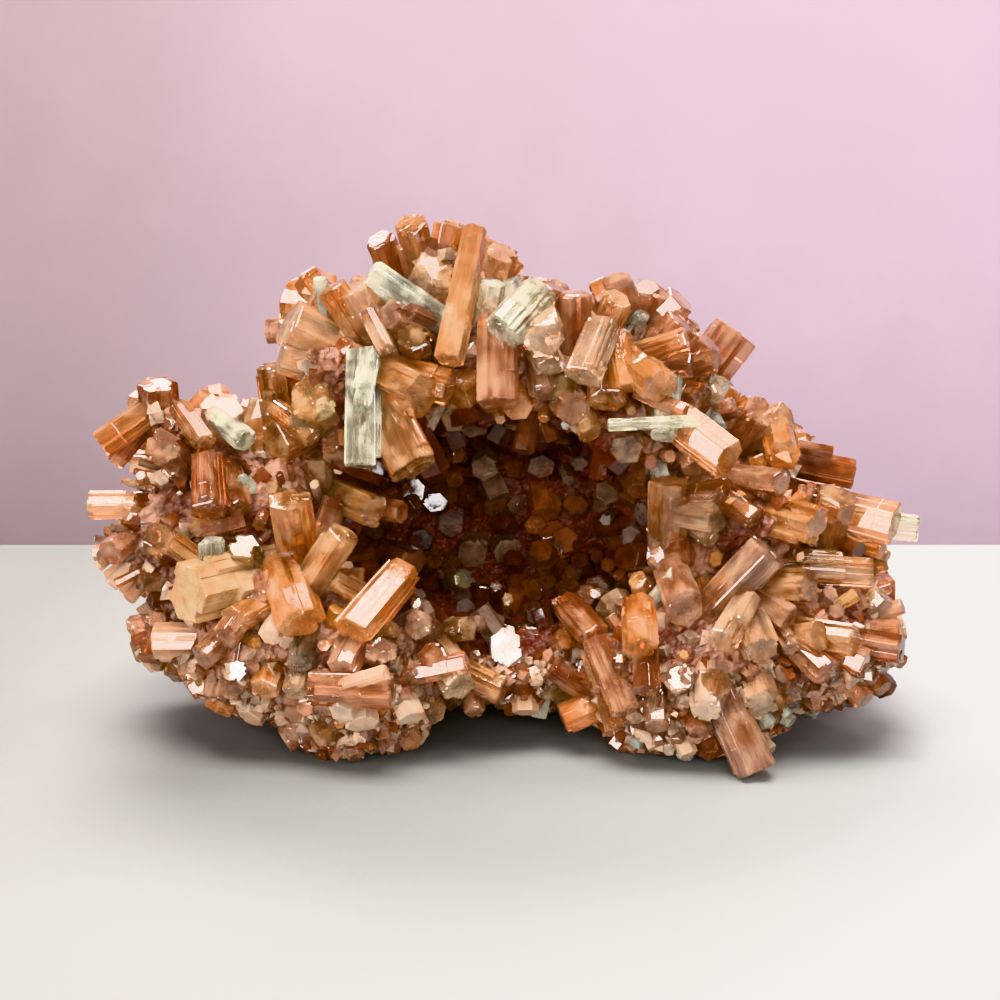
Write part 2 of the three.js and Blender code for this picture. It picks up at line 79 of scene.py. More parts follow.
# A crystal's shape, mostly as shares of its radius. Its sides have strips that step in and out.
SIDES = 6
STOUT_STRIPS = 3
WALL_STRIPS = 2
PLAIN_STRIPS = 1
UNEVENNESS = 0.14
STOUT_GROOVE = 0.07
PLAIN_GROOVE = 0.02
DEEP_STRIP_CHANCE = 0.12
CHAMFER_SHARE = 0.12
LARGEST_CHAMFER = 0.16
SHADE_RANGE = (0.82, 1.15)
WARMTH_RANGE = (-0.08, 0.08)
FOOT_TAPER = 0.92
ROOTED_LENGTH = 3.0
SQUASH = 0.12
LEAST_RISE = 1.2
RISE_SHARE = 0.5

# The body and the hollow are lumps with a centre and radii.
MAIN_LUMPS = (
    ((-36, 1, 24), (12, 19, 16)),
    ((-41, -3, 34), (8, 10, 8)),
    ((-27, -4, 29), (9, 10, 11)),
    ((-18, 1, 43), (12, 16, 12)),
    ((-12, -4, 49.5), (14, 9, 8)),
    ((11, -4, 46.5), (14, 9, 8)),
    ((0, 3, 45.5), (16, 14.5, 10)),
    ((-6, -2, 53), (9, 9, 7)),
    ((17, 3, 39.5), (14, 17, 10.5)),
    ((31, 2, 28.5), (11.5, 17, 11)),
    ((36, 3, 19), (11, 20, 13)),
    ((27, -5, 22), (9, 9, 9)),
    ((0, 20, 22), (39, 13, 23)),
    ((0, 3, 11), (21, 18, 8)),
)
FOOT_LUMPS = (
    ((-19, -14.5, 10.8), (11.5, 9, 11.4)),
    ((-30, -12, 14), (11, 10, 9.5)),
    ((23, -14, 10), (14, 10, 10.4)),
    ((38.5, -9, 13.5), (10.5, 11.5, 9)),
)
ALL_LUMPS = MAIN_LUMPS + FOOT_LUMPS
BODY_CENTRE = np.array([0.0, 10.0, 22.0])
SWELL = 0.04
HOLLOW_LUMPS = (
    ((-1, -6, 27), (20.5, 20, 14.5)),
    ((3, -12, 20), (9, 12, 7.5)),
)
WALL_DEPTH = 1.6

# The body: its voxels, how far it stays inside the lumps, its colours, its near-black painted shade
# in the hollow, and its paler low part.
BODY_GRAIN = 0.6
BODY_SUNK = 2.2
FOOT_SUNK = np.array([1.2, 1.2, 0.3])
MATRIX_DARK = np.array([0.10, 0.022, 0.009])
MATRIX_PALE = np.array([0.50, 0.27, 0.18])
MATRIX_HOLLOW_SHADE = np.array([0.09, 0.016, 0.007])
CRUMB_TOP = 15.0
CRUMB_PALENESS = 0.35

# The noises that roughen the body: how fine each is, and how far it raises the surface.
BROAD_FINENESS, BROAD_RISE = 0.16, 0.9
MIDDLE_FINENESS, MIDDLE_RISE = 0.45, 0.7
GRAIN_FINENESS, GRAIN_RISE = 0.62, 0.9
FINE_FINENESS, FINE_RISE = 1.7, 0.3
BODY_DROP = 0.9

# The larger filling crystals of the solids.
FILL_SPACING = 13.2
FILL_RADIUS = (3, 4.6)
FILL_RISE = (3, 6)
FILL_TILT = 0.9
FILL_LOWEST = 5
FILL_BURIED_REACH = 1.03
FILL_HOLLOW_REACH = 1.12
FILL_SEED = 5000
FRONT_FILL_DEPTH = 4
FRONT_FILL_SCALE = 0.6
FILL_SHARES = (0.7, 0.6)
LEAST_SOLID_RADIUS = 2.1

# Points spread over a lump and the seeded draws, as in the solids.
GOLDEN_ANGLE = 2.39996
AREA_POWER = 1.6
RANDOM_FACTOR = 16807
RANDOM_MODULUS = 2147483647
SEED_STEP = 7919
SEED_START = 104729

# The scatter between the placed crystals, picked out of many points all over a surface.
SKIN_CANDIDATES = 60000
WALL_CANDIDATES = 3000
BACK_SPREAD = {"spacing": 4.6, "seed": 11, "tilt": 0.9}
FRONT_SPREAD = {"spacing": 3.3, "seed": 12, "tilt": 0.9}
SMALL_SPREAD = {"spacing": 2.1, "seed": 13, "tilt": 1.2}
WALL_SPREAD = {"spacing": 2.7, "seed": 14, "tilt": 1.7, "forward": 0.4}
SCATTER_ROOT = 4.5
SCATTER_SEED_STEP = 100000
SCATTER_SHARES = (0.9, 0.5)
LOWEST_TIP = 0.3
UPPER_PART = 30.0
FRONT_DEPTH = 0.0
SHOWN_SHARE = 0.85

# Broken grains: thick on the low front, and sparse and sunk deep elsewhere.
CRUMBLY_TOP = 13
CRUMBLY_DEPTH = 4
THICK_GRAINS = {"spacing": 0.8, "seed": 15, "size_range": (0.5, 1.5), "rise_range": (-1.2, 0.1)}
SPARSE_GRAINS = {"spacing": 2.4, "seed": 16, "size_range": (0.7, 1.6), "rise_range": (-2.6, -1.8)}
LOWEST_GRAIN = 0.8

# Colour of each tone as linear red, green, blue, and how much of it light passes through.
TONES = {
    "amber": ((0.90, 0.47, 0.22), 0.90),
    "glow": ((0.94, 0.47, 0.20), 0.78),
    "peach": ((0.95, 0.56, 0.33), 0.68),
    "pale": ((0.94, 0.62, 0.39), 0.85),
    "honey": ((0.76, 0.38, 0.16), 0.92),
    "orange": ((0.90, 0.38, 0.13), 0.82),
    "russet": ((0.42, 0.13, 0.05), 0.84),
    "rose": ((0.72, 0.36, 0.22), 0.85),
    "clear": ((0.93, 0.92, 0.74), 0.84),
    # A white, nearly opaque tone that paints a reflection of the lamps on end faces turned to the eye.
    "frost": ((0.93, 0.92, 0.89), 0.10),
    "smoky": ((0.46, 0.28, 0.17), 0.90),
    "cream": ((0.85, 0.57, 0.39), 0.55),
    "olive": ((0.52, 0.36, 0.18), 0.90),
    # The grey tone of crystals in the hollow is partly painted reflection of the lamps on their end
    # faces.
    "grey": ((0.28, 0.185, 0.14), 0.50),
    # Umber and wine, used only in the hollow, are darkened as painted shade of the hollow.
    "umber": ((0.24, 0.085, 0.04), 0.80),
    "wine": ((0.15, 0.034, 0.014), 0.80),
}

# Tones by region, as shares of the crystals that grow there.
REGION_TONES = {
    "crown": (("amber", 28), ("pale", 16), ("honey", 16), ("orange", 10), ("clear", 4), ("rose", 26)),
    "left_flank": (("rose", 34), ("russet", 22), ("cream", 14), ("smoky", 12), ("amber", 18)),
    "right_flank": (("amber", 30), ("orange", 20), ("rose", 26), ("russet", 14), ("pale", 10)),
    "left_foot": (("rose", 30), ("orange", 16), ("cream", 20), ("russet", 22), ("amber", 12)),
    "right_foot": (("rose", 32), ("russet", 24), ("amber", 14), ("cream", 18), ("clear", 12)),
    "lip": (("russet", 48), ("rose", 24), ("smoky", 14), ("amber", 10), ("clear", 4)),
    "back": (("amber", 34), ("honey", 20), ("rose", 16), ("pale", 12), ("orange", 10), ("russet", 8)),
    # In the hollow the dark tones are painted shade, and grey is partly painted reflection.
    "hollow": (("wine", 46), ("umber", 28), ("russet", 14), ("grey", 12)),
}
GRAIN_TONES = (("cream", 40), ("rose", 38), ("russet", 22))

# How light goes through the crystals, the colours inside them, and heights of bumps in metres.
CRYSTAL_IOR = 1.6
CLEAR_IOR = 1.55
LINE_STRETCH = (2.6, 0.12, 2.6)
CLOUD_STRETCH = (0.42, 0.24, 0.42)
MILKY = (0.95, 0.66, 0.43)
RUSTY = (0.70, 0.25, 0.07)
# Root colours darken crystals towards their roots: partly the bases' own colour, partly painted shade
# between crystals.
ROOT_SHADE_COLOUR = (0.36, 0.11, 0.045)
TINY_ROOT_SHADE_COLOUR = (0.16, 0.04, 0.018)
CLEAR_COLOUR = (0.96, 0.93, 0.76)
CLEAR_MILKY = (0.95, 0.83, 0.62)
CLEAR_ABSORPTION = (0.96, 0.88, 0.60, 1.0)
CLEAR_DENSITY = 50.0
SPECK_COLOUR = (0.80, 0.52, 0.38)
FINE_BUMP = 0.00015
GRAINY_BUMP = 0.0002
CELL_BUMP = 0.0005

# The studio in metres and watts. A look is where the left and right colours end, those colours,
# and the clouds' noise and shades. The change from left to right is painted shade, darker on the left.
# A light is its name, place, target, size, power and colour.
TABLE_CORNERS = [(-1.5, -1.5, 0), (1.5, -1.5, 0), (1.5, 0.099, 0), (-1.5, 0.099, 0)]
BACKDROP_CORNERS = [(-2, 0.6, -0.6), (2, 0.6, -0.6), (2, 0.6, 1.6), (-2, 0.6, 1.6)]
# The floor's left and right colours: it is darker on the left as painted shade.
FLOOR_SHADE_COLOURS = ((0.115, 0.113, 0.104), (0.28, 0.29, 0.28))
FLOOR_SHADE_LOOK = ((-0.08, 0.08), FLOOR_SHADE_COLOURS, (9.0, 2.0), (0.92, 1.05))
# The backdrop's lilac, left and right: it is darker on the left as painted shade.
BACKDROP_SHADE_COLOURS = ((0.305, 0.228, 0.246), (0.50, 0.372, 0.46))
BACKDROP_SHADE_LOOK = ((-0.22, 0.30), BACKDROP_SHADE_COLOURS, (7.0, 5.0, 0.65), (0.93, 1.07))
WORLD_COLOUR = (0.86, 0.80, 0.84, 1.0)
WORLD_STRENGTH = 0.2
MIDDLE = (0.0, 0.0, 0.03)
LIGHTS = (
    ("overhead", (-0.05, -0.16, 0.6), MIDDLE, (0.4, 0.28), 9.3, (1.0, 0.97, 0.93)),
    ("front_card", (0.1, -0.8, 0.28), MIDDLE, (0.46, 0.2), 4.5, (1.0, 0.98, 0.96)),
    ("left_fill", (-0.5, -0.5, 0.09), MIDDLE, (0.5, 0.16), 4.5, (1.0, 0.98, 0.96)),
    ("rear_glow", (-0.12, 0.4, 0.5), MIDDLE, (0.4, 0.2), 6.5, (1.0, 0.95, 0.93)),
    ("backdrop_light", (0.3, 0.2, 0.9), (0.3, 0.6, 0.25), (0.9, 0.3), 7.3, (1.0, 0.97, 1.0)),
)
GLINT_PLACES = ((-0.45, -0.35, 0.35), (0.5, -0.3, 0.45), (0.02, -0.5, 0.62), (-0.2, -0.55, 0.3))
GLINT = (MIDDLE, (0.05, 0.05), 0.4, (1.0, 0.98, 0.95))

# One row each: across, height and depth of the free end, lean as a clock angle in degrees, turn
# towards the front in degrees, radius, length and tone.
CROWN = (
    (-11.7, 64.8, -4, 348, 35, 2.6, 7, "amber"),
    (-15.6, 63, 0, 340, 30, 2.1, 6, "russet"),
    (-7.2, 48, -14, 192, 28, 2.2, 14.5, "glow"),
    (-0.6, 61.5, -2, 15, 20, 2.8, 8, "pale"),
    (-8.5, 59.5, 0, 30, 40, 3.4, 7, "pale"),
    (-16.8, 58.7, -10, 305, 10, 2.2, 10, "clear"),
    (-22.8, 58.3, -9, 355, 10, 1.1, 6, "clear"),
    (-21.5, 57.2, -10, 328, 10, 2.1, 10, "amber"),
    (-18.5, 57, -10, 330, 10, 2.6, 11, "pale"),
    (-26.8, 52.8, -10, 300, 20, 3.6, 11, "pale"),
    (-28, 48.7, -11, 290, 15, 2.4, 10, "pale"),
    (-28.3, 47.5, -6, 355, 15, 2.9, 9, "honey"),
    (-14.5, 53.8, -13, 300, 45, 2.2, 6, "rose"),
    (-11.5, 51, -15, 0, 65, 2.3, 6, "honey"),
    (-14.8, 49.3, -16, 150, 35, 1.3, 3, "pale"),
    (8.5, 56.5, -8, 0, 10, 2.2, 6, "rose"),
    (5.8, 57.2, -2, 30, 10, 1.6, 4, "russet"),
    (14, 54.6, -5, 10, 20, 1.7, 4, "amber"),
    (16.8, 53.8, -4, 30, 30, 1.3, 4, "clear"),
    (22.3, 50.7, -12, 70, 10, 2.2, 8, "amber"),
    (21.5, 53, -7, 40, 20, 2.1, 6, "rose"),
    (25, 50.3, -4, 35, 20, 2.1, 5, "rose"),
    (-1.6, 57.8, -9, 10, 12, 1.9, 9, "clear"),
)
BROW = (
    (-29, 37.8, -12, 250, 50, 2.8, 7, "honey"),
    (-24.5, 43.5, -12, 330, 60, 3.2, 7, "amber"),
    (-22, 42.6, -15, 60, 30, 1.4, 3, "pale"),
    (-24, 38.5, -14, 120, 30, 1.6, 4, "amber"),
    (-18.2, 34.8, -18, 180, 15, 2.5, 11, "clear"),
    (-18, 42, -19, 190, 35, 1.5, 5, "clear"),
    (-10.5, 43.5, -17, 110, 40, 3.4, 10, "amber"),
    (-7, 44.8, -14, 100, 20, 2.4, 7, "orange"),
    (-11.5, 34.5, -17, 150, 25, 3.6, 10, "amber"),
    (-1, 42.6, -17, 180, 25, 3, 8, "rose"),
    (-0.5, 51.5, -17, 225, 38, 2.9, 5, "clear"),
    (4.6, 50.6, -17, 160, 65, 2.9, 5, "pale"),
    (5.5, 47.3, -14, 150, 45, 2.2, 4, "pale"),
    (4.5, 44, -14, 170, 50, 1.8, 5, "rose"),
    (9.5, 46, -16, 205, 35, 2.6, 5, "pale"),
    (19, 44.9, -18, 130, 60, 2.8, 6, "orange"),
    (15, 44.5, -15, 170, 30, 2, 4, "orange"),
    (12.5, 43, -13, 180, 50, 2.6, 6, "honey"),
    (7.2, 43, -14, 180, 60, 2, 5, "olive"),
    (9, 40.1, -13, 180, 70, 1.5, 4, "pale"),
    (10.5, 38.7, -9, 160, 40, 1.8, 5, "honey"),
    (12.6, 40, -19, 268, 5, 0.8, 8, "clear"),
    (19.5, 38.5, -16, 190, 30, 2, 5, "clear"),
    (22.3, 41.6, -17, 110, 30, 1.2, 4, "rose"),
    (27.8, 35.6, -18, 125, 35, 2.9, 9, "amber"),
    (23, 47.5, -9, 90, 20, 1.9, 5, "rose"),
    (24.5, 43, -12, 100, 40, 2.4, 6, "russet"),
)
RIGHT_FLANK = (
    (31.5, 41.8, -9, 20, 45, 2.6, 6, "rose"),
    (34.8, 40.5, -10, 60, 45, 2.6, 6, "pale"),
    (34.5, 36, -13, 180, 62, 2.7, 4, "orange"),
    (40.7, 36.5, -4, 100, 5, 1, 5, "russet"),
    (43.5, 33.8, -3, 100, 10, 2.1, 7, "russet"),
    (41.5, 31.2, -10, 10, 25, 2.9, 8, "amber"),
    (39.2, 27.3, -17, 100, 40, 3.1, 9, "orange"),
    (49, 27.5, -8, 100, 25, 3, 8, "amber"),
    (51.8, 26.8, -3, 95, 10, 2.1, 8, "clear"),
    (46.3, 21.2, -13, 92, 5, 2.2, 10, "amber"),
    (47.8, 18.5, -12, 40, 10, 2.1, 7, "pale"),
    (33, 24.2, -18, 40, 10, 3.4, 9, "rose"),
    (21.5, 31.2, -13, 0, 15, 1.6, 5, "amber"),
    (20.3, 33, -11, 0, 10, 2.6, 6, "amber"),
    (28, 32, -9, 70, 35, 1.9, 4, "honey"),
    (26.5, 28, -12, 90, 40, 2.3, 3, "pale"),
    (25.7, 25.8, -14, 120, 60, 1.6, 4, "pale"),
    (31.5, 28, -11, 120, 40, 2, 5, "russet"),
    (34.5, 32.8, -11, 90, 40, 2.2, 6, "rose"),
    (22.7, 24, -13, 60, 45, 2.2, 4, "russet"),
    (44.5, 12.3, -14, 90, 30, 2.3, 7, "amber"),
)
RIGHT_FOOT = (
    (22.8, 16.5, -20, 160, 70, 3, 6, "rose"),
    (30.5, 17, -19, 30, 50, 2.4, 6, "rose"),
    (27.5, 12, -23, 225, 50, 2.5, 5, "pale"),
    (32.6, 11, -23, 160, 60, 2.6, 5, "pale"),
    (36, 15, -19, 120, 40, 2, 5, "rose"),
    (36.4, 11.2, -19, 150, 60, 1.4, 4, "rose"),
    (32.5, 3.8, -22, 170, 65, 2.4, 5, "pale"),
    (32.5, -5.2, -25, 155, 15, 2.8, 10, "rose"),
    (15.3, 2.6, -22, 155, 32, 2.1, 7, "rose"),
    (14.2, 0.6, -20, 160, 22, 1.6, 7, "amber"),
    (7.2, 1.9, -17, 250, 10, 2.1, 8, "orange"),
    (5.8, 9, -14, 305, 10, 1.9, 7, "russet"),
    (3.4, 5.7, -9, 275, 10, 1.3, 6, "olive"),
    (8.5, 13, -16, 30, 60, 2.4, 5, "russet"),
    (11.5, 13, -16, 130, 50, 2, 4, "russet"),
    (17.3, 11.2, -20, 180, 60, 2.3, 5, "orange"),
    (14.6, 10, -16, 0, 40, 1, 4, "smoky"),
    (18, 5.5, -15, 180, 45, 1.9, 5, "russet"),
    (16.6, 20.4, -14, 340, 40, 1.5, 4, "orange"),
    (18.9, 23.4, -13, 300, 60, 2, 4, "rose"),
    (21.7, 20.8, -17, 30, 30, 1.6, 5, "clear"),
    (19.5, 0.8, -22, 180, 45, 2, 4, "rose"),
    (25.5, 3, -23, 190, 60, 2.3, 4, "cream"),
    (22, 7.5, -22, 330, 65, 2.2, 5, "rose"),
    (27.5, 6.5, -23, 60, 60, 2, 4, "amber"),
    (41, 8, -17, 130, 45, 2.2, 5, "rose"),
    (46, 9.2, -12, 110, 30, 2, 5, "rose"),
    (40, 13, -17, 60, 50, 2.1, 5, "amber"),
    (38.5, 19.5, -17, 80, 40, 2.5, 6, "amber"),
    (41, 3.6, -14, 150, 30, 1.9, 4, "cream"),
)
LEFT_FOOT = (
    # Painted reflection: a white end face turned to the eye.
    (0, 11.6, -16, 20, 72, 2.5, 4, "frost"),
    (-5, 13.8, -18, 60, 60, 1.7, 4, "amber"),
    (-3.2, 14.7, -16, 60, 50, 1.2, 4, "rose"),
    (-11.3, 14.5, -19, 330, 60, 2.2, 5, "rose"),
    (-11.4, 17.3, -18, 0, 50, 0.9, 3, "amber"),
    (-16.5, 29, -15, 100, 50, 2.4, 8, "amber"),
    (-13, 29, -14, 90, 35, 1.6, 8, "russet"),
    (-40.5, 18.5, -22, 270, 50, 4.2, 11, "peach"),
    (-42.3, 25.3, -17, 310, 10, 1.8, 12, "amber"),
    (-37, 25.5, -13, 0, 10, 1.6, 5, "clear"),
    (-33.2, 24.6, -15, 0, 50, 2.2, 5, "olive"),
    (-27.3, 30.8, -19, 355, 20, 3.1, 11, "honey"),
    (-20.3, 26.3, -20, 33, 10, 2.6, 9, "amber"),
    (-22, 20.5, -20, 305, 15, 1.6, 6, "amber"),
    (-19.7, 13.5, -23, 225, 42, 2.8, 8, "orange"),
    (-26, 14.5, -24, 150, 50, 3.2, 7, "orange"),
    (-30, 12.7, -23, 200, 60, 1.6, 4, "cream"),
    (-28, 12, -23, 150, 60, 1.2, 4, "cream"),
    (-36, 12.5, -20, 220, 45, 2, 5, "rose"),
    # Painted reflection: a white end face turned to the eye.
    (-34.3, 8.3, -19, 20, 72, 1.3, 4, "frost"),
    (-26.3, 9.3, -24, 180, 60, 2, 5, "smoky"),
    (-14.5, 5.5, -26, 90, 10, 2.4, 7, "rose"),
    (-15.2, 8.1, -27, 70, 10, 1.1, 3, "cream"),
    (-5, 9.5, -22, 75, 10, 1.6, 8, "rose"),
    (-6, 6, -22, 140, 55, 2.5, 6, "pale"),
    (-0.3, 5.6, -18, 110, 25, 2.1, 6, "amber"),
    (-4, 2.8, -17, 170, 50, 1.6, 4, "rose"),
    (-27, 5.5, -24, 190, 60, 1.9, 5, "pale"),
    (-31, 5.7, -21, 200, 60, 2, 5, "orange"),
    (-23, 3.2, -25, 180, 60, 1.7, 5, "rose"),
    (-36.5, 4.5, 0, 190, 20, 2.5, 8, "rose"),
    (-16, 11, -24, 20, 55, 2.2, 5, "rose"),
    (-9.5, 10.5, -22, 340, 60, 2, 5, "russet"),
    (-21, 8.5, -24, 210, 50, 2.2, 5, "rose"),
    (-18.5, 1, -23, 170, 50, 2.1, 4, "cream"),
    (-12, 1.8, -22, 150, 45, 1.9, 4, "cream"),
    (-34.5, 15, -20, 250, 55, 2.2, 5, "orange"),
    (-31, 19.5, -20, 330, 60, 2.4, 5, "rose"),
    (-24.5, 20, -20, 20, 55, 1.9, 5, "russet"),
    (-39, 10, -16, 235, 40, 2.1, 5, "rose"),
    (-33, 1.9, -17, 210, 40, 2, 4, "cream"),
)
LEFT_FLANK = (
    (-45.5, 17.5, -8, 325, -8, 2.1, 9, "smoky"),
    (-46.3, 21, -9, 280, 30, 2.4, 6, "smoky"),
    (-47, 25.5, -6, 285, 20, 2, 6, "smoky"),
    (-52.3, 30, -8, 270, 0, 2.1, 9, "pale"),
    (-50.6, 37.5, -7, 236, 15, 2.1, 7, "amber"),
    (-49, 35.2, -4, 220, 10, 1.3, 4, "rose"),
    (-43.2, 45.3, -5, 0, 15, 2.8, 5, "russet"),
    (-35.4, 42.3, -10, 10, 50, 2.9, 6, "cream"),
    (-43, 37.2, -15, 330, 65, 2.7, 6, "rose"),
    (-37.5, 37.7, -14, 135, 40, 1.8, 4, "honey"),
    (-32.5, 38, -14, 120, 40, 1.8, 4, "clear"),
    (-37.2, 29, -17, 170, 45, 2.5, 5, "russet"),
    (-32.5, 32.5, -13, 60, 40, 1.8, 5, "clear"),
    (-33.5, 29.3, -12, 150, 50, 2, 5, "russet"),
)
# Crystals in the grey tone have end faces that are partly painted reflection.
HOLLOW_CRYSTALS = (
    (-4.3, 23.5, 8, 200, 80, 2.5, 6, "grey"),
    (0, 23.9, 8, 100, 78, 2.1, 6, "grey"),
    (-2.7, 34.5, 6, 180, 72, 2.2, 6, "grey"),
    (-4, 39.8, -5, 180, 55, 2.4, 5, "grey"),
    (1, 40.5, -5, 180, 55, 2.1, 5, "grey"),
    (6.3, 40, -5, 180, 50, 1.3, 4, "russet"),
    (9.2, 35, 5, 180, 70, 1.4, 5, "grey"),
    (7.8, 33, 5, 150, 70, 0.9, 5, "grey"),
    (7.3, 25.5, 5, 330, 60, 2.2, 6, "russet"),
    (12.5, 28, 2, 270, 70, 1, 5, "grey"),
    (2.8, 13.3, -10, 0, 60, 1.5, 5, "russet"),
    (11.3, 18.5, -8, 300, 60, 1, 4, "rose"),
    (-11.8, 22.5, -3, 90, 60, 2.3, 5, "russet"),
    (-5.2, 20.4, -3, 45, 65, 1.6, 4, "olive"),
    (-1.2, 19.5, -3, 0, 60, 1.1, 4, "russet"),
    (0.2, 17.7, -7, 0, 60, 1, 4, "amber"),
    (6.8, 17.3, -8, 0, 55, 1.1, 4, "rose"),
)

# What the materials read at each point: each attribute's kind, field and node output.
FIELDS = {
    "tint": ("FLOAT_COLOR", "color", "Color"),
    "clarity": ("FLOAT", "value", "Fac"),
    "inner": ("FLOAT_VECTOR", "vector", "Vector"),
    "along": ("FLOAT", "value", "Fac"),
}

# A crystal's tip is its free end, and its length counts the part that is rooted in the body.
Crystal = namedtuple("Crystal", "tip direction radius length seed tone")


class Draw:
    """The same numbers for the same seed, between 0 and 1, as the solids use."""

    def __init__(self, seed):
        self.state = (seed * SEED_STEP + SEED_START) % RANDOM_MODULUS
        self()
        self()

    def __call__(self):
        self.state = (self.state * RANDOM_FACTOR) % RANDOM_MODULUS
        return self.state / RANDOM_MODULUS

    def between(self, low, high):
        return low + (high - low) * self()

    def around(self, amount):
        """A vector with each part within half of amount."""
        return np.array([self() - 0.5, self() - 0.5, self() - 0.5]) * amount


def unit(vector):
    return vector / norm(vector)


def unit_rows(vectors):
    return vectors / norm(vectors, axis=1)[:, None]


def on_sight_line(across, height, depth):
    share = (depth - EYE[1]) / (FRONT_PLANE_Y - EYE[1])
    x, z = EYE[[0, 2]] + ((across, height) - EYE[[0, 2]]) * share
    return np.array([x, depth, z])


def direction_of(lean, toward):
    lean, toward = math.radians(lean), math.radians(toward)
    across = math.sin(lean) * math.cos(toward)
    up = math.cos(lean) * math.cos(toward)
    return np.array([across, -math.sin(toward), up])


def crossings(lump, start, directions):
    """Where lines from start along directions enter and leave a lump, nan where they miss."""
    centre, radii = lump
    begin = (start - centre) / radii
    step = directions / radii
    square = (step * step).sum(-1)
    slope = (step * begin).sum(-1)
    root = slope * slope - square * ((begin * begin).sum() - 1)
    half = np.sqrt(np.where(root < 0, np.nan, root))
    return (-slope - half) / square, (-slope + half) / square


def least_reach(lumps, points):
    """How far out points lie in the lump that they are deepest in: 1 is its surface."""
    reaches = [norm((points - centre) / radii, axis=-1) for centre, radii in lumps]
    return np.min(reaches, axis=0)


def swell_at(points):
    x, y, z = points[..., 0], points[..., 1], points[..., 2]
    first = np.sin(0.31 * x + 0.17 * z)
    second = np.sin(0.27 * y - 0.23 * x)
    third = np.sin(0.36 * z + 0.2 * y)
    return SWELL * (first + second + third)


def skin_at(directions):
    """The main body's skin in these directions from its centre."""
    leaves = [crossings(lump, BODY_CENTRE, directions)[1] for lump in MAIN_LUMPS]
    reach = np.nanmax(leaves, axis=0)[..., None]
    points = BODY_CENTRE + directions * reach
    return points + directions * reach * swell_at(points)[..., None]


def skin_depth(points):
    """How far points stand outside the main body's skin, along the line from its centre."""
    away = points - BODY_CENTRE
    distance = norm(away, axis=-1)
    skin = skin_at(away / distance[..., None])
    return distance - norm(skin - BODY_CENTRE, axis=-1)


def placed(rows, first_seed, on_body=True):
    """Crystals from rows. One whose end would be buried is drawn out along its line of sight."""
    specs = []
    for seed, (across, height, depth, lean, toward, radius, length, tone) in enumerate(rows, first_seed):
        tip = on_sight_line(across, height, depth)
        distance = norm(tip - EYE)
        sight = (tip - EYE) / distance
        if on_body:
            enters = [crossings(lump, EYE, sight)[0] for lump in ALL_LUMPS]
            nearest = np.nanmin(enters + [1e6])
            distance = min(distance, nearest - LEAST_RISE - RISE_SHARE * radius)
        end = EYE + sight * distance
        direction = direction_of(lean, toward)
        specs.append(Crystal(end, direction, radius, length + ROOTED_LENGTH, seed, tone))
    return specs


def columns(specs):
    """The tips, directions, radii and lengths of crystals, each as an array."""
    return [np.array(column) for column in list(zip(*specs))[:4]]


def is_crowded(tip, radius, specs, standing, arriving):
    """True if a crystal's end would stand too near the axis of another."""
    tips, directions, radii, lengths = columns(specs)
    feet = tips - directions * lengths[:, None]
    along = tips - feet
    share = ((tip - feet) * along).sum(-1) / (along * along).sum(-1)
    nearest = feet + along * np.clip(share, 0, 1)[:, None]
    gaps = norm(nearest - tip, axis=-1)
    return bool((gaps < standing * radii + arriving * radius).any())


def seen_on_plane(points):
    """Across and height of points as seen from the eye, on the front plane."""
    share = (FRONT_PLANE_Y - EYE[1]) / (points[..., 1] - EYE[1])
    return EYE[[0, 2]] + (points[..., [0, 2]] - EYE[[0, 2]]) * share[..., None]


def hides_another(tip, radius, specs):
    """True if a crystal's end would stand before the free part of another, seen from the eye."""
    tips, directions, radii, lengths = columns(specs)
    shown = directions * (lengths - ROOTED_LENGTH)[:, None]
    starts, ends = seen_on_plane(tips - shown), seen_on_plane(tips)
    along = ends - starts
    here = seen_on_plane(tip)
    share = ((here - starts) * along).sum(1) / ((along * along).sum(1) + 1e-9)
    share = np.clip(share, 0, 1)
    gap = norm(starts + along * share[:, None] - here, axis=1)
    depth = (tips - shown)[:, 1] + shown[:, 1] * share
    return bool(((gap < SHOWN_SHARE * radii + 0.5 * radius) & (tip[1] < depth + radii)).any())


def spiral(lump, count, twist=0.0):
    """Points spread evenly over a lump, and the ways out from them."""
    centre, radii = lump
    index = np.arange(count)
    up = 1 - 2 * (index + 0.5) / count
    ring = np.sqrt(1 - up * up)
    turn = index * GOLDEN_ANGLE + twist
    ball = np.stack([ring * np.cos(turn), ring * np.sin(turn), up], axis=1)
    return centre + ball * radii, unit_rows(ball / radii)


def lump_area(lump):
    a, b, c = lump[1]
    products = [(a * b) ** AREA_POWER, (a * c) ** AREA_POWER, (b * c) ** AREA_POWER]
    return 4 * math.pi * (sum(products) / 3) ** (1 / AREA_POWER)


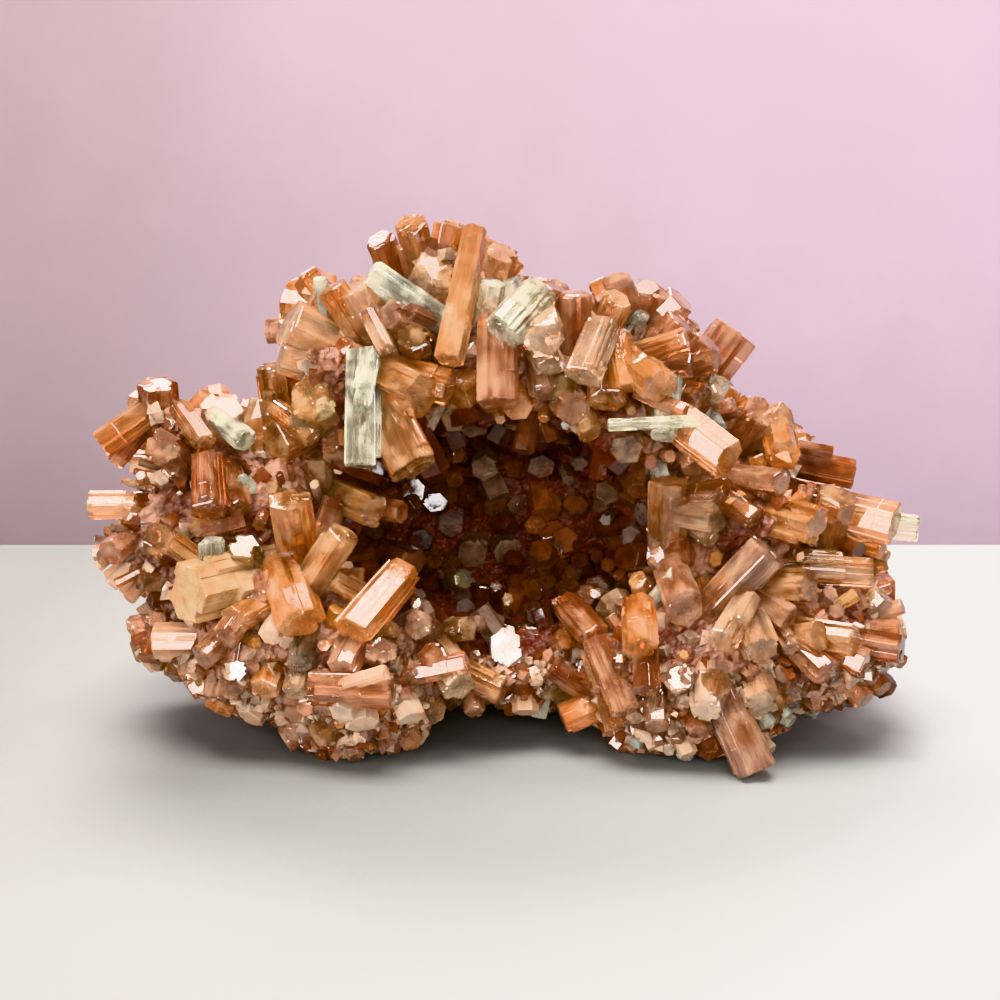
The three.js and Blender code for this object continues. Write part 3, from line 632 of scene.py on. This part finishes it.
def filling_crystals(standing):
    """The larger filling crystals, the same ones as in the solids."""
    found = []
    for lump_index, lump in enumerate(ALL_LUMPS):
        count = round(lump_area(lump) / FILL_SPACING**2)
        points, normals = spiral(lump, count, lump_index)
        others = [other for other in ALL_LUMPS if other is not lump]
        for i in range(count):
            seed = FILL_SEED + 100 * lump_index + i
            draw = Draw(seed)
            direction = unit(normals[i] + draw.around(FILL_TILT))
            scale = FRONT_FILL_SCALE if points[i][1] < FRONT_FILL_DEPTH else 1
            radius = scale * draw.between(*FILL_RADIUS)
            rise = scale * draw.between(*FILL_RISE)
            tip = points[i] + direction * rise
            is_buried = least_reach(others, points[i]) < FILL_BURIED_REACH
            is_in_hollow = least_reach(HOLLOW_LUMPS, tip) < FILL_HOLLOW_REACH
            is_low = min(points[i][2], tip[2]) < FILL_LOWEST
            if is_buried or is_in_hollow or is_low:
                continue
            if is_crowded(tip, radius, standing + found, *FILL_SHARES):
                continue
            tone = tone_at(points[i], normals[i], draw)
            found.append(Crystal(tip, direction, radius, rise + ROOTED_LENGTH, seed, tone))
    return found


def region_at(point, normal):
    x, y, z = point
    if normal[1] > 0.35 or y > 12:
        return "back"
    if z > 38:
        return "crown"
    if -8 < x < 20 and z > 9:
        return "lip"
    if x < 0:
        return "left_flank" if z > 22 else "left_foot"
    return "right_flank" if z > 18 else "right_foot"


def pick(shares, draw):
    left = draw() * sum(share for _, share in shares)
    for tone, share in shares:
        left -= share
        if left <= 0:
            return tone
    return shares[-1][0]


def tone_at(point, normal, draw):
    return pick(REGION_TONES[region_at(point, normal)], draw)


def outer_points(lumps, count):
    """Points on each lump that no other of the lumps takes in, and the ways out from them."""
    found = []
    for lump in lumps:
        others = [other for other in lumps if other is not lump]
        points, out = spiral(lump, count)
        keep = least_reach(others, points) > 1.0
        found.append((points[keep], out[keep]))
    return [np.concatenate(part) for part in zip(*found)]


def skin_candidates(count):
    """Points all over the body's outside, and the ways out from them."""
    directions = spiral(((0, 0, 0), (1, 1, 1)), count)[0]
    points = skin_at(directions)
    guide = np.where(np.abs(directions[:, 2:]) > 0.9, [[0.0, 1.0, 0.0]], [[0.0, 0.0, 1.0]])
    first = unit_rows(np.cross(directions, guide))
    second = np.cross(directions, first)
    steps = [skin_at(unit_rows(directions + 0.01 * aside)) - points for aside in (first, second)]
    normals = unit_rows(np.cross(steps[0], steps[1]))
    normals *= np.sign((normals * directions).sum(1))[:, None]
    keep = least_reach(FOOT_LUMPS, points) > 1.0
    on_feet, out = outer_points(FOOT_LUMPS, count // 8)
    clear_of_body = skin_depth(on_feet) > 0.2
    points = np.concatenate([points[keep], on_feet[clear_of_body]])
    normals = np.concatenate([normals[keep], out[clear_of_body]])
    keep = least_reach(HOLLOW_LUMPS, points) > 1.02
    return points[keep], normals[keep]


def wall_candidates(count):
    """Points on the hollow's wall, and the ways into the hollow from them."""
    points, out = outer_points(HOLLOW_LUMPS, count)
    inside = (skin_depth(points) < -1.5) | (least_reach(FOOT_LUMPS, points) < 0.9)
    return points[inside], -out[inside]


def spaced(points, spacing, seed):
    """Indices of points that keep a distance from each other, in a shuffled order."""
    order = np.random.default_rng(seed).permutation(len(points))
    cells = {}
    kept = []
    keys = np.floor(points / spacing).astype(int)
    for index in order:
        a, b, c = keys[index]
        near = [
            other
            for i in (a - 1, a, a + 1)
            for j in (b - 1, b, b + 1)
            for k in (c - 1, c, c + 1)
            for other in cells.get((i, j, k), ())
        ]
        gaps = points[near] - points[index]
        if near and (gaps * gaps).sum(1).min() < spacing * spacing:
            continue
        cells.setdefault((a, b, c), []).append(index)
        kept.append(index)
    return kept


def cross_section(draw, strips, groove):
    """A closed outline of about radius 1: six uneven sides, each in strips that step in and out."""
    apothem = math.cos(math.pi / SIDES)
    sides = []
    for i in range(SIDES):
        angle = (i + 0.5) * 2 * math.pi / SIDES
        sides.append((math.sin(angle), math.cos(angle), apothem * (1 - UNEVENNESS * draw())))
    corners = []
    for i in range(SIDES):
        (ax, az, a), (bx, bz, b) = sides[i - 1], sides[i]
        det = ax * bz - az * bx
        corners.append(np.array([a * bz - b * az, ax * b - bx * a]) / det)
    if strips == 0:
        return np.array(corners)
    outline = []
    for i in range(SIDES):
        start, end = corners[i], corners[(i + 1) % SIDES]
        normal = np.array(sides[i][:2])
        cuts = []
        for k in range(strips + 1):
            shift = 0.5 * (draw() - 0.5) if 0 < k < strips else 0
            cuts.append((k + shift) / strips)
        for k in range(strips):
            depth = groove * draw()
            if strips > 1 and draw() < DEEP_STRIP_CHANCE:
                depth += 2.5 * groove
            low = cuts[k] + (0.05 if k == 0 else 0.01)
            high = cuts[k + 1] - (0.05 if k == strips - 1 else 0.01)
            outline.append(start + (end - start) * low - normal * depth)
            outline.append(start + (end - start) * high - normal * depth)
    return np.array(outline)


def prism(draw, radius, length, roll, squash, strips):
    """Points, with the axis along Y and the free end at 0, and faces of one closed crystal."""
    groove = STOUT_GROOVE if strips > 1 else PLAIN_GROOVE
    outline = cross_section(draw, strips, groove) * radius
    turn = np.array([[math.cos(roll), -math.sin(roll)], [math.sin(roll), math.cos(roll)]])
    outline = outline @ turn
    outline *= (squash, 1 / squash)
    chamfer = min(CHAMFER_SHARE * radius, LARGEST_CHAMFER)
    slope = np.array([draw() - 0.5, draw() - 0.5]) * 0.1
    levels = [(1 - chamfer / radius, 0.0), (1.0, -chamfer)]
    step = 0.0
    if strips > 1:
        levels.insert(0, (0.62 + 0.2 * draw(), 0.03))
        drop = draw.between(0.15, 0.7) * length
        step = draw.between(-0.05, 0.06)
        levels += [(1.0, -drop), (1.0 + step, -drop - 0.08)]
    levels.append((FOOT_TAPER + 0.5 * step, -length))
    n = len(outline)
    tilt = outline @ slope
    tilt -= tilt.max()
    rings = []
    for scale, height in levels:
        share = max(0.0, 1 + height / length)
        heights = np.full(n, height) + tilt * scale * share
        ring = outline * scale
        rings.append(np.stack([ring[:, 0], heights, ring[:, 1]], axis=1))
    points = np.concatenate(rings)
    points[:, 1] = np.minimum(points[:, 1], 0)
    faces = [tuple(range(n)), tuple(reversed(range((len(levels) - 1) * n, len(levels) * n)))]
    for k in range(len(levels) - 1):
        for i in range(n):
            j = (i + 1) % n
            faces.append((k * n + i, (k + 1) * n + i, (k + 1) * n + j, k * n + j))
    return points, faces


class Pile:
    """Many closed shapes in one mesh, with what their material reads at each point."""

    def __init__(self):
        self.points = []
        self.faces = []
        self.values = {name: [] for name in FIELDS}
        self.count = 0

    def add(self, points, faces, tint, clarity, inner, along):
        n = len(points)
        self.points.append(points)
        self.faces += [tuple(i + self.count for i in face) for face in faces]
        added = (np.tile([*tint, 1.0], (n, 1)), np.full(n, clarity), inner, along)
        for name, values in zip(FIELDS, added):
            self.values[name].append(values)
        self.count += n

    def build(self, name, material):
        points = np.clip(np.concatenate(self.points), LOW_CORNER, HIGH_CORNER)
        mesh = bpy.data.meshes.new(name)
        mesh.from_pydata(((points - FOOT_CENTRE) * MILLIMETRE).tolist(), [], self.faces)
        for field, values in self.values.items():
            write_attribute(mesh, field, np.concatenate(values))
        mesh.materials.append(material)
        return new_object(name, mesh)


def new_object(name, data):
    made = bpy.data.objects.new(name, data)
    scene.collection.objects.link(made)
    return made


def write_attribute(mesh, name, values):
    kind, field, _ = FIELDS[name]
    attribute = mesh.attributes.new(name, kind, "POINT")
    attribute.data.foreach_set(field, np.asarray(values, dtype=np.float32).ravel())


def basis_of(direction):
    guide = (0.0, 1.0, 0.0) if abs(direction[2]) > 0.9 else (0.0, 0.0, 1.0)
    side = unit(np.cross(direction, guide))
    return np.array([side, direction, np.cross(side, direction)])


def grow(pile, spec, strips):
    """Adds one crystal to a pile. A ridged one also gets slimmer neighbours grown along it."""
    draw = Draw(spec.seed)
    roll = draw() * math.pi / 3
    squash = 1 + SQUASH * (2 * draw() - 1)
    basis = basis_of(spec.direction)
    colour, clarity = TONES[spec.tone]
    shade = draw.between(*SHADE_RANGE)
    warmth = draw.between(*WARMTH_RANGE)
    tint = np.clip(np.array(colour) * shade * (1 + warmth, 1, 1 - warmth), 0.005, 0.95)
    offset = np.array([draw(), draw(), draw()]) * 200
    radius, length = spec.radius, spec.length
    parts = [(radius, length, np.zeros(3), roll, squash)]
    if strips > 1:
        for _ in range(int(draw() * 4.5)):
            angle = draw() * 2 * math.pi
            away = draw.between(0.35, 0.75) * radius
            slim = draw.between(0.35, 0.6) * radius
            sunk = draw.between(0.04, 0.5) * (length - ROOTED_LENGTH)
            if away + slim < radius:
                sunk = draw.between(-0.05, 0.0) * radius
            middle = np.array([away * math.sin(angle), -sunk, away * math.cos(angle)])
            parts.append((slim, 0.9 * length - sunk, middle, roll + draw.between(-0.1, 0.1), 1.0))
    for part_radius, part_length, middle, part_roll, part_squash in parts:
        points, faces = prism(draw, part_radius, part_length, part_roll, part_squash, strips)
        points = points + middle
        along = np.clip(1 + points[:, 1] / length, 0, 1)
        pile.add(spec.tip + points @ basis, faces, tint, clarity, points + offset, along)


def scatter_chips(pile, points, normals, spacing, seed, size_range, rise_range):
    """Broken grains half sunk in a surface."""
    for number, index in enumerate(spaced(points, spacing, seed), seed * SCATTER_SEED_STEP):
        draw = Draw(number)
        corners, faces = chip(draw, draw.between(*size_range))
        spin = basis_of(unit(draw.around(1.0) + 1e-3))
        colour, clarity = TONES[pick(GRAIN_TONES, draw)]
        tint = np.array(colour) * draw.between(0.6, 1.15)
        place = points[index] + normals[index] * draw.between(*rise_range)
        if place[2] < LOWEST_GRAIN:
            continue
        pile.add(place + corners @ spin, faces, tint, clarity, corners + 200 * draw(), np.full(8, 0.8))


def chip(draw, size):
    """A broken grain: a closed lump of eight corners."""
    corners = np.array([(x, y, z) for x in (-1, 1) for y in (-1, 1) for z in (-1, 1)], float)
    corners += np.array([draw.around(1.1) for _ in range(8)])
    faces = [(0, 1, 3, 2), (4, 6, 7, 5), (0, 4, 5, 1), (2, 3, 7, 6), (0, 2, 6, 4), (1, 5, 7, 3)]
    return corners * size * 0.5, faces


# Radius and rise of the scattered crystals, and the tone of those on the hollow's wall.
def medium_size(point, normal, draw):
    if region_at(point, normal) == "back":
        return draw.between(1.5, 2.9), draw.between(1.5, 4.5)
    if point[2] > UPPER_PART:
        return draw.between(1.5, 2.7), draw.between(0.4, 2.2)
    return draw.between(1.1, 2.2), draw.between(0.5, 2.2)


def small_size(point, normal, draw):
    return draw.between(0.5, 1.2), draw.between(0.3, 1.2)


def wall_size(point, normal, draw):
    return draw.between(1.0, 2.3), draw.between(0.0, 4.0) + WALL_DEPTH


def wall_tone(point, normal, draw):
    return pick(REGION_TONES["hollow"], draw)


def sprinkle(points, normals, standing, shown, size_of, tone_of, spacing, seed, tilt, forward=0.0):
    """Small crystals on a surface, apart from each other and clear of the standing ones."""
    specs = []
    for number, index in enumerate(spaced(points, spacing, seed), seed * SCATTER_SEED_STEP):
        draw = Draw(number)
        point, normal = points[index], normals[index]
        radius, rise = size_of(point, normal, draw)
        direction = unit(normal + draw.around(tilt) + (0.0, -forward, 0.0))
        tip = point + direction * rise
        if tip[2] < LOWEST_TIP or is_crowded(tip, radius, standing, *SCATTER_SHARES):
            continue
        if tip[1] < FRONT_DEPTH and hides_another(tip, radius, shown):
            continue
        tone = tone_of(point, normal, draw)
        specs.append(Crystal(tip, direction, radius, rise + SCATTER_ROOT, number, tone))
    return specs


def lump_mesh(bm, lump, subdivisions, shrink):
    centre, radii = np.array(lump[0], float), np.array(lump[1], float) - shrink
    made = bmesh.ops.create_icosphere(bm, subdivisions=subdivisions, radius=1.0)
    for vert in made["verts"]:
        vert.co = Vector(centre + np.array(vert.co) * radii)


def object_from(bm, name):
    mesh = bpy.data.meshes.new(name)
    bm.to_mesh(mesh)
    bm.free()
    return new_object(name, mesh)


def voxel_remesh(target):
    remesh = target.modifiers.new("voxels", "REMESH")
    remesh.mode = "VOXEL"
    remesh.voxel_size = BODY_GRAIN


def vectors_of(mesh, field):
    values = np.empty(len(mesh.vertices) * 3, dtype=np.float32)
    mesh.vertices.foreach_get(field, values)
    return values.reshape(-1, 3).astype(float)


def body_piece(material):
    """The grainy body that the crystals grow from, with its hollow."""
    bm = bmesh.new()
    made = bmesh.ops.create_icosphere(bm, subdivisions=6, radius=1.0)
    directions = unit_rows(np.array([tuple(vert.co) for vert in made["verts"]]))
    for vert, point in zip(made["verts"], skin_at(directions) - directions * BODY_SUNK):
        vert.co = Vector(point)
    for lump in FOOT_LUMPS:
        lump_mesh(bm, lump, 4, FOOT_SUNK)
    body = object_from(bm, "body")
    voxel_remesh(body)
    bm = bmesh.new()
    for lump in HOLLOW_LUMPS:
        lump_mesh(bm, lump, 5, WALL_DEPTH)
    cutter = object_from(bm, "cutter")
    voxel_remesh(cutter)
    cut = body.modifiers.new("hollow", "BOOLEAN")
    cut.operation = "DIFFERENCE"
    cut.solver = "FAST"
    cut.object = cutter
    voxel_remesh(body)
    bpy.context.view_layer.update()
    graph = bpy.context.evaluated_depsgraph_get()
    mesh = bpy.data.meshes.new_from_object(body.evaluated_get(graph))
    body.modifiers.clear()
    body.data = mesh
    bpy.data.objects.remove(cutter)

    points, normals = vectors_of(mesh, "co"), vectors_of(mesh, "normal")
    # Inside the hollow the body's colour fades to near black: painted shade.
    hollow = np.clip((1.12 - least_reach(HOLLOW_LUMPS, points)) / 0.1, 0, 1)
    rise = np.empty(len(points))
    tints = np.empty((len(points), 4))
    for index, point in enumerate(points):
        place = Vector(point)
        broad = noise.noise(place * BROAD_FINENESS)
        middle = noise.noise(place * MIDDLE_FINENESS)
        grain = noise.voronoi(place * GRAIN_FINENESS)[0]
        fine = noise.noise(place * FINE_FINENESS)
        waves = BROAD_RISE * broad + MIDDLE_RISE * middle
        rise[index] = waves + GRAIN_RISE * (grain[1] - grain[0]) + FINE_RISE * fine - BODY_DROP
        crumb = CRUMB_PALENESS * min(max((CRUMB_TOP - point[2]) / 4, 0), 1)
        paleness = min(max(0.3 + crumb + 0.9 * broad + 0.5 * fine, 0), 1)
        colour = MATRIX_DARK * (1 - paleness) + MATRIX_PALE * paleness
        colour = colour * (1 - hollow[index]) + MATRIX_HOLLOW_SHADE * hollow[index]
        tints[index] = (*colour, 1.0)
    points += normals * rise[:, None]
    points[:, 2] = np.maximum(points[:, 2], 0.0)
    metres = ((points - FOOT_CENTRE) * MILLIMETRE).astype(np.float32)
    mesh.vertices.foreach_set("co", metres.ravel())
    write_attribute(mesh, "tint", tints)
    mesh.materials.clear()
    mesh.materials.append(material)
    mesh.polygons.foreach_set("use_smooth", np.zeros(len(mesh.polygons), dtype=bool))
    mesh.update()
    return body


class Nodes:
    """A material and short ways to add nodes to it."""

    def __init__(self, name):
        self.material = bpy.data.materials.new(name)
        self.material.use_nodes = True
        self.tree = self.material.node_tree
        self.shader = self.tree.nodes["Principled BSDF"]
        self.output = self.tree.nodes["Material Output"]

    def feed(self, socket, value):
        """Sets a socket to a number, vector or colour, or links it to another socket."""
        if isinstance(value, tuple):
            socket.default_value = (*value, 1.0)[:len(socket.default_value)]
        elif isinstance(value, (int, float)):
            socket.default_value = value
        else:
            self.tree.links.new(value, socket)

    def add(self, kind, output, inputs=(), **settings):
        """Adds a node, feeds its inputs and returns one of its outputs."""
        node = self.tree.nodes.new(kind)
        for key, value in settings.items():
            setattr(node, key, value)
        for key, value in dict(inputs).items():
            self.feed(node.inputs[key], value)
        return node.outputs[output]

    def finish(self, inputs):
        """Feeds the shader and returns the material."""
        for key, value in inputs.items():
            self.feed(self.shader.inputs[key], value)
        return self.material

    def attribute(self, name):
        return self.add("ShaderNodeAttribute", FIELDS[name][2], attribute_name=name)

    def place(self):
        return self.add("ShaderNodeTexCoord", "Object")

    def noise(self, vector, scale, detail, roughness=0.5):
        inputs = {"Vector": vector, "Scale": scale, "Detail": detail, "Roughness": roughness}
        return self.add("ShaderNodeTexNoise", "Fac", inputs)

    def stretched(self, vector, scale):
        return self.add("ShaderNodeVectorMath", "Vector", {0: vector, 1: scale}, operation="MULTIPLY")

    def scaled(self, colour, amount):
        inputs = {0: colour, "Scale": amount}
        return self.add("ShaderNodeVectorMath", "Vector", inputs, operation="SCALE")

    def remap(self, value, low, high, start, end):
        inputs = {"Value": value, "From Min": low, "From Max": high, "To Min": start, "To Max": end}
        return self.add("ShaderNodeMapRange", "Result", inputs)

    def math(self, operation, first, second):
        return self.add("ShaderNodeMath", "Value", {0: first, 1: second}, operation=operation)

    def mix(self, factor, first, second):
        return self.add("ShaderNodeMix", 2, {0: factor, 6: first, 7: second}, data_type="RGBA")

    def bump(self, height, strength, distance, **more):
        inputs = {"Strength": strength, "Distance": distance, "Height": height, **more}
        return self.add("ShaderNodeBump", "Normal", inputs)


def crystal_material():
    """Glassy crystal: fine lines along its axis, milky and rusty veils, and roots that are darker partly
    from their own colour and partly as painted shade between crystals.
    """
    n = Nodes("crystal")
    inner = n.attribute("inner")
    line = n.noise(n.stretched(inner, LINE_STRETCH), 1.0, 2.0, 0.6)
    veil = n.noise(inner, 0.16, 2.0, 0.6)
    cloud = n.noise(n.stretched(inner, CLOUD_STRETCH), 1.0, 2.0, 0.6)
    glitter = n.noise(inner, 1.3, 2.0, 0.7)
    body = n.scaled(n.attribute("tint"), n.remap(line, 0.3, 0.7, 0.96, 1.08))
    body = n.mix(n.remap(cloud, 0.42, 0.66, 0.0, 0.4), body, MILKY)
    body = n.mix(n.remap(veil, 0.50, 0.66, 0.0, 0.45), body, RUSTY)
    # Darker towards the root: partly the base's own colour, partly painted shade between crystals.
    body = n.mix(n.remap(n.attribute("along"), 0.1, 0.6, 0.35, 0.0), body, ROOT_SHADE_COLOUR)
    milky = n.remap(cloud, 0.42, 0.62, 1.0, 0.8)
    height = n.math("ADD", line, n.remap(glitter, 0.56, 0.72, 0.0, 8.0))
    return n.finish({
        "Base Color": body,
        "Roughness": n.remap(line, 0.35, 0.7, 0.0, 0.06),
        "Transmission Weight": n.math("MULTIPLY", n.attribute("clarity"), milky),
        "Normal": n.bump(height, 0.015, FINE_BUMP),
        "IOR": CRYSTAL_IOR,
    })


def clear_crystal_material():
    """Nearly colourless crystal with milky windows, which takes up a little light inside."""
    n = Nodes("clear_crystal")
    inner = n.attribute("inner")
    line = n.noise(n.stretched(inner, LINE_STRETCH), 1.0, 2.0, 0.6)
    veil = n.noise(inner, 0.3, 2.0, 0.6)
    inside = {"Color": CLEAR_ABSORPTION, "Density": CLEAR_DENSITY}
    n.feed(n.output.inputs["Volume"], n.add("ShaderNodeVolumeAbsorption", "Volume", inside))
    return n.finish({
        "Base Color": n.mix(n.remap(veil, 0.5, 0.7, 0.0, 0.4), CLEAR_COLOUR, CLEAR_MILKY),
        "Roughness": n.remap(line, 0.35, 0.7, 0.0, 0.06),
        "Transmission Weight": n.remap(veil, 0.42, 0.66, 0.92, 0.6),
        "Normal": n.bump(line, 0.15, FINE_BUMP),
        "IOR": CLEAR_IOR,
    })


def tiny_crystal_material():
    """Crystal of the smallest pieces: milky, mottled and glassy, with roots darkened nearly to black,
    partly as painted shade between crystals.
    """
    n = Nodes("tiny_crystal")
    veil = n.noise(n.attribute("inner"), 0.5, 2.0, 0.65)
    shaded = n.scaled(n.attribute("tint"), n.remap(veil, 0.35, 0.65, 1.15, 0.45))
    # Darker towards the root: partly the base's own colour, partly painted shade between crystals.
    rooted = n.remap(n.attribute("along"), 0.1, 0.7, 0.8, 0.0)
    return n.finish({
        "Base Color": n.mix(rooted, shaded, TINY_ROOT_SHADE_COLOUR),
        "Roughness": n.remap(veil, 0.35, 0.7, 0.0, 0.25),
        "Transmission Weight": n.math("MULTIPLY", n.attribute("clarity"), 0.75),
        "Normal": n.bump(veil, 0.3, GRAINY_BUMP),
        "IOR": CRYSTAL_IOR,
    })


def matrix_material():
    """Rough intergrown grains."""
    n = Nodes("matrix")
    place = n.place()
    broad = n.noise(place, 260.0, 4.0)
    fine = n.noise(place, 1900.0, 4.0, 0.65)
    cells = n.add("ShaderNodeTexVoronoi", "Distance", {"Vector": place, "Scale": 950.0})
    shaded = n.scaled(n.attribute("tint"), n.remap(broad, 0.3, 0.7, 0.6, 1.3))
    return n.finish({
        "Base Color": n.mix(n.remap(fine, 0.58, 0.78, 0.0, 0.4), shaded, SPECK_COLOUR),
        "Roughness": n.remap(fine, 0.3, 0.7, 0.35, 0.7),
        "Normal": n.bump(fine, 0.5, GRAINY_BUMP, Normal=n.bump(cells, 0.8, CELL_BUMP)),
        "Subsurface Weight": 0.15,
        "Subsurface Radius": (1.0, 0.4, 0.2),
        "Subsurface Scale": 0.001,
    })


def shaded_cloudy_colour(n, place, reach, colours, clouds, shades):
    """A colour that grows lighter from left to right as painted shade, with faint clouds."""
    side = n.add("ShaderNodeSeparateXYZ", "X", {"Vector": place})
    tone = n.mix(n.remap(side, *reach, 0.0, 1.0), *colours)
    return n.scaled(tone, n.remap(n.noise(place, *clouds), 0.3, 0.7, *shades))


def floor_material():
    n = Nodes("pale_floor")
    place = n.place()
    return n.finish({
        "Base Color": shaded_cloudy_colour(n, place, *FLOOR_SHADE_LOOK),
        "Normal": n.bump(n.noise(place, 900.0, 1.0), 0.1, GRAINY_BUMP),
        "Roughness": 0.55,
    })


def backdrop_material():
    n = Nodes("lilac_backdrop")
    return n.finish({"Base Color": shaded_cloudy_colour(n, n.place(), *BACKDROP_SHADE_LOOK), "Roughness": 0.9})


def sheet(name, corners, material):
    mesh = bpy.data.meshes.new(name)
    mesh.from_pydata(corners, [], [(0, 1, 2, 3)])
    mesh.materials.append(material)
    new_object(name, mesh)


def area_light(name, place, target, size, power, colour):
    light = bpy.data.lights.new(name, "AREA")
    light.shape = "RECTANGLE"
    light.size, light.size_y = size
    light.energy = power
    light.color = colour
    lamp = new_object(name, light)
    lamp.location = place
    lamp.rotation_euler = (Vector(target) - Vector(place)).to_track_quat("-Z", "Y").to_euler()


warm = crystal_material()
tiny = tiny_crystal_material()

placed_specs = []
for number, rows in enumerate((CROWN, BROW, RIGHT_FLANK, RIGHT_FOOT, LEFT_FOOT, LEFT_FLANK), 1):
    placed_specs += placed(rows, 100 * number)
stout = [spec for spec in placed_specs if spec.radius >= LEAST_SOLID_RADIUS]
fillers = filling_crystals(stout)
standing = placed_specs + fillers
wall_specs = placed(HOLLOW_CRYSTALS, 700, False)


skin_points, skin_normals = skin_candidates(SKIN_CANDIDATES)
back = skin_normals[:, 1] > 0.1
medium = []
for part, spread in ((back, BACK_SPREAD), (~back, FRONT_SPREAD)):
    medium += sprinkle(
        skin_points[part], skin_normals[part], standing, placed_specs, medium_size, tone_at, **spread
    )
small = sprinkle(
    skin_points, skin_normals, standing + medium, placed_specs, small_size, tone_at, **SMALL_SPREAD
)
wall_small = sprinkle(
    *wall_candidates(WALL_CANDIDATES), wall_specs, wall_specs + placed_specs, wall_size, wall_tone,
    **WALL_SPREAD,
)

MATERIAL_OF = {
    "stout_crystals": warm,
    "filling_crystals": warm,
    "clear_crystals": clear_crystal_material(),
    "medium_crystals": warm,
    "small_crystals": tiny,
    "grains": tiny,
}
piles = {name: Pile() for name in MATERIAL_OF}
for name, specs, strips in (
    ("stout_crystals", placed_specs, STOUT_STRIPS),
    ("filling_crystals", fillers, STOUT_STRIPS),
    ("medium_crystals", medium, PLAIN_STRIPS),
):
    for spec in specs:
        grow(piles["clear_crystals" if spec.tone == "clear" else name], spec, strips)
for spec in small:
    grow(piles["small_crystals"], spec, 0)
crumbly = (skin_points[:, 2] < CRUMBLY_TOP) & (skin_points[:, 1] < CRUMBLY_DEPTH)
scatter_chips(piles["grains"], skin_points[crumbly], skin_normals[crumbly], **THICK_GRAINS)
scatter_chips(piles["grains"], skin_points[~crumbly], skin_normals[~crumbly], **SPARSE_GRAINS)
hollow_pile = Pile()
for spec in wall_specs:
    grow(hollow_pile, spec, WALL_STRIPS)
for spec in wall_small:
    grow(hollow_pile, spec, PLAIN_STRIPS)

body = body_piece(matrix_material())
body.name = "matrix"
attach(body, "root")
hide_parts("cluster")
for name, pile in piles.items():
    piece = pile.build(name, MATERIAL_OF[name])
    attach(piece, "root")
hollow_piece = hollow_pile.build("hollow_crystals", tiny)
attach(hollow_piece, "root")
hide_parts("hollow_crust")

sheet("table", TABLE_CORNERS, floor_material())
sheet("backdrop", BACKDROP_CORNERS, backdrop_material())

paths = scene.cycles
paths.max_bounces = 7
paths.diffuse_bounces = 3
paths.glossy_bounces = 3
paths.transmission_bounces = 7
paths.volume_bounces = 0
paths.use_light_tree = False
scene.view_settings.view_transform = "Khronos PBR Neutral"

world = bpy.data.worlds.new("studio")
world.use_nodes = True
background = world.node_tree.nodes["Background"]
background.inputs["Color"].default_value = WORLD_COLOUR
background.inputs["Strength"].default_value = WORLD_STRENGTH
scene.world = world
for light in LIGHTS:
    area_light(*light)
for number, place in enumerate(GLINT_PLACES):
    area_light(f"glint_{number}", place, *GLINT)

camera_data = bpy.data.cameras.new("camera")
camera_data.lens = FOCAL_LENGTH
camera_data.clip_start = 0.01
camera = new_object("camera", camera_data)
eye = Vector((EYE - FOOT_CENTRE) * MILLIMETRE)
aim = Vector((AIM - FOOT_CENTRE) * MILLIMETRE)
camera.location = eye
camera.rotation_euler = (aim - eye).to_track_quat("-Z", "Y").to_euler()
scene.camera = camera
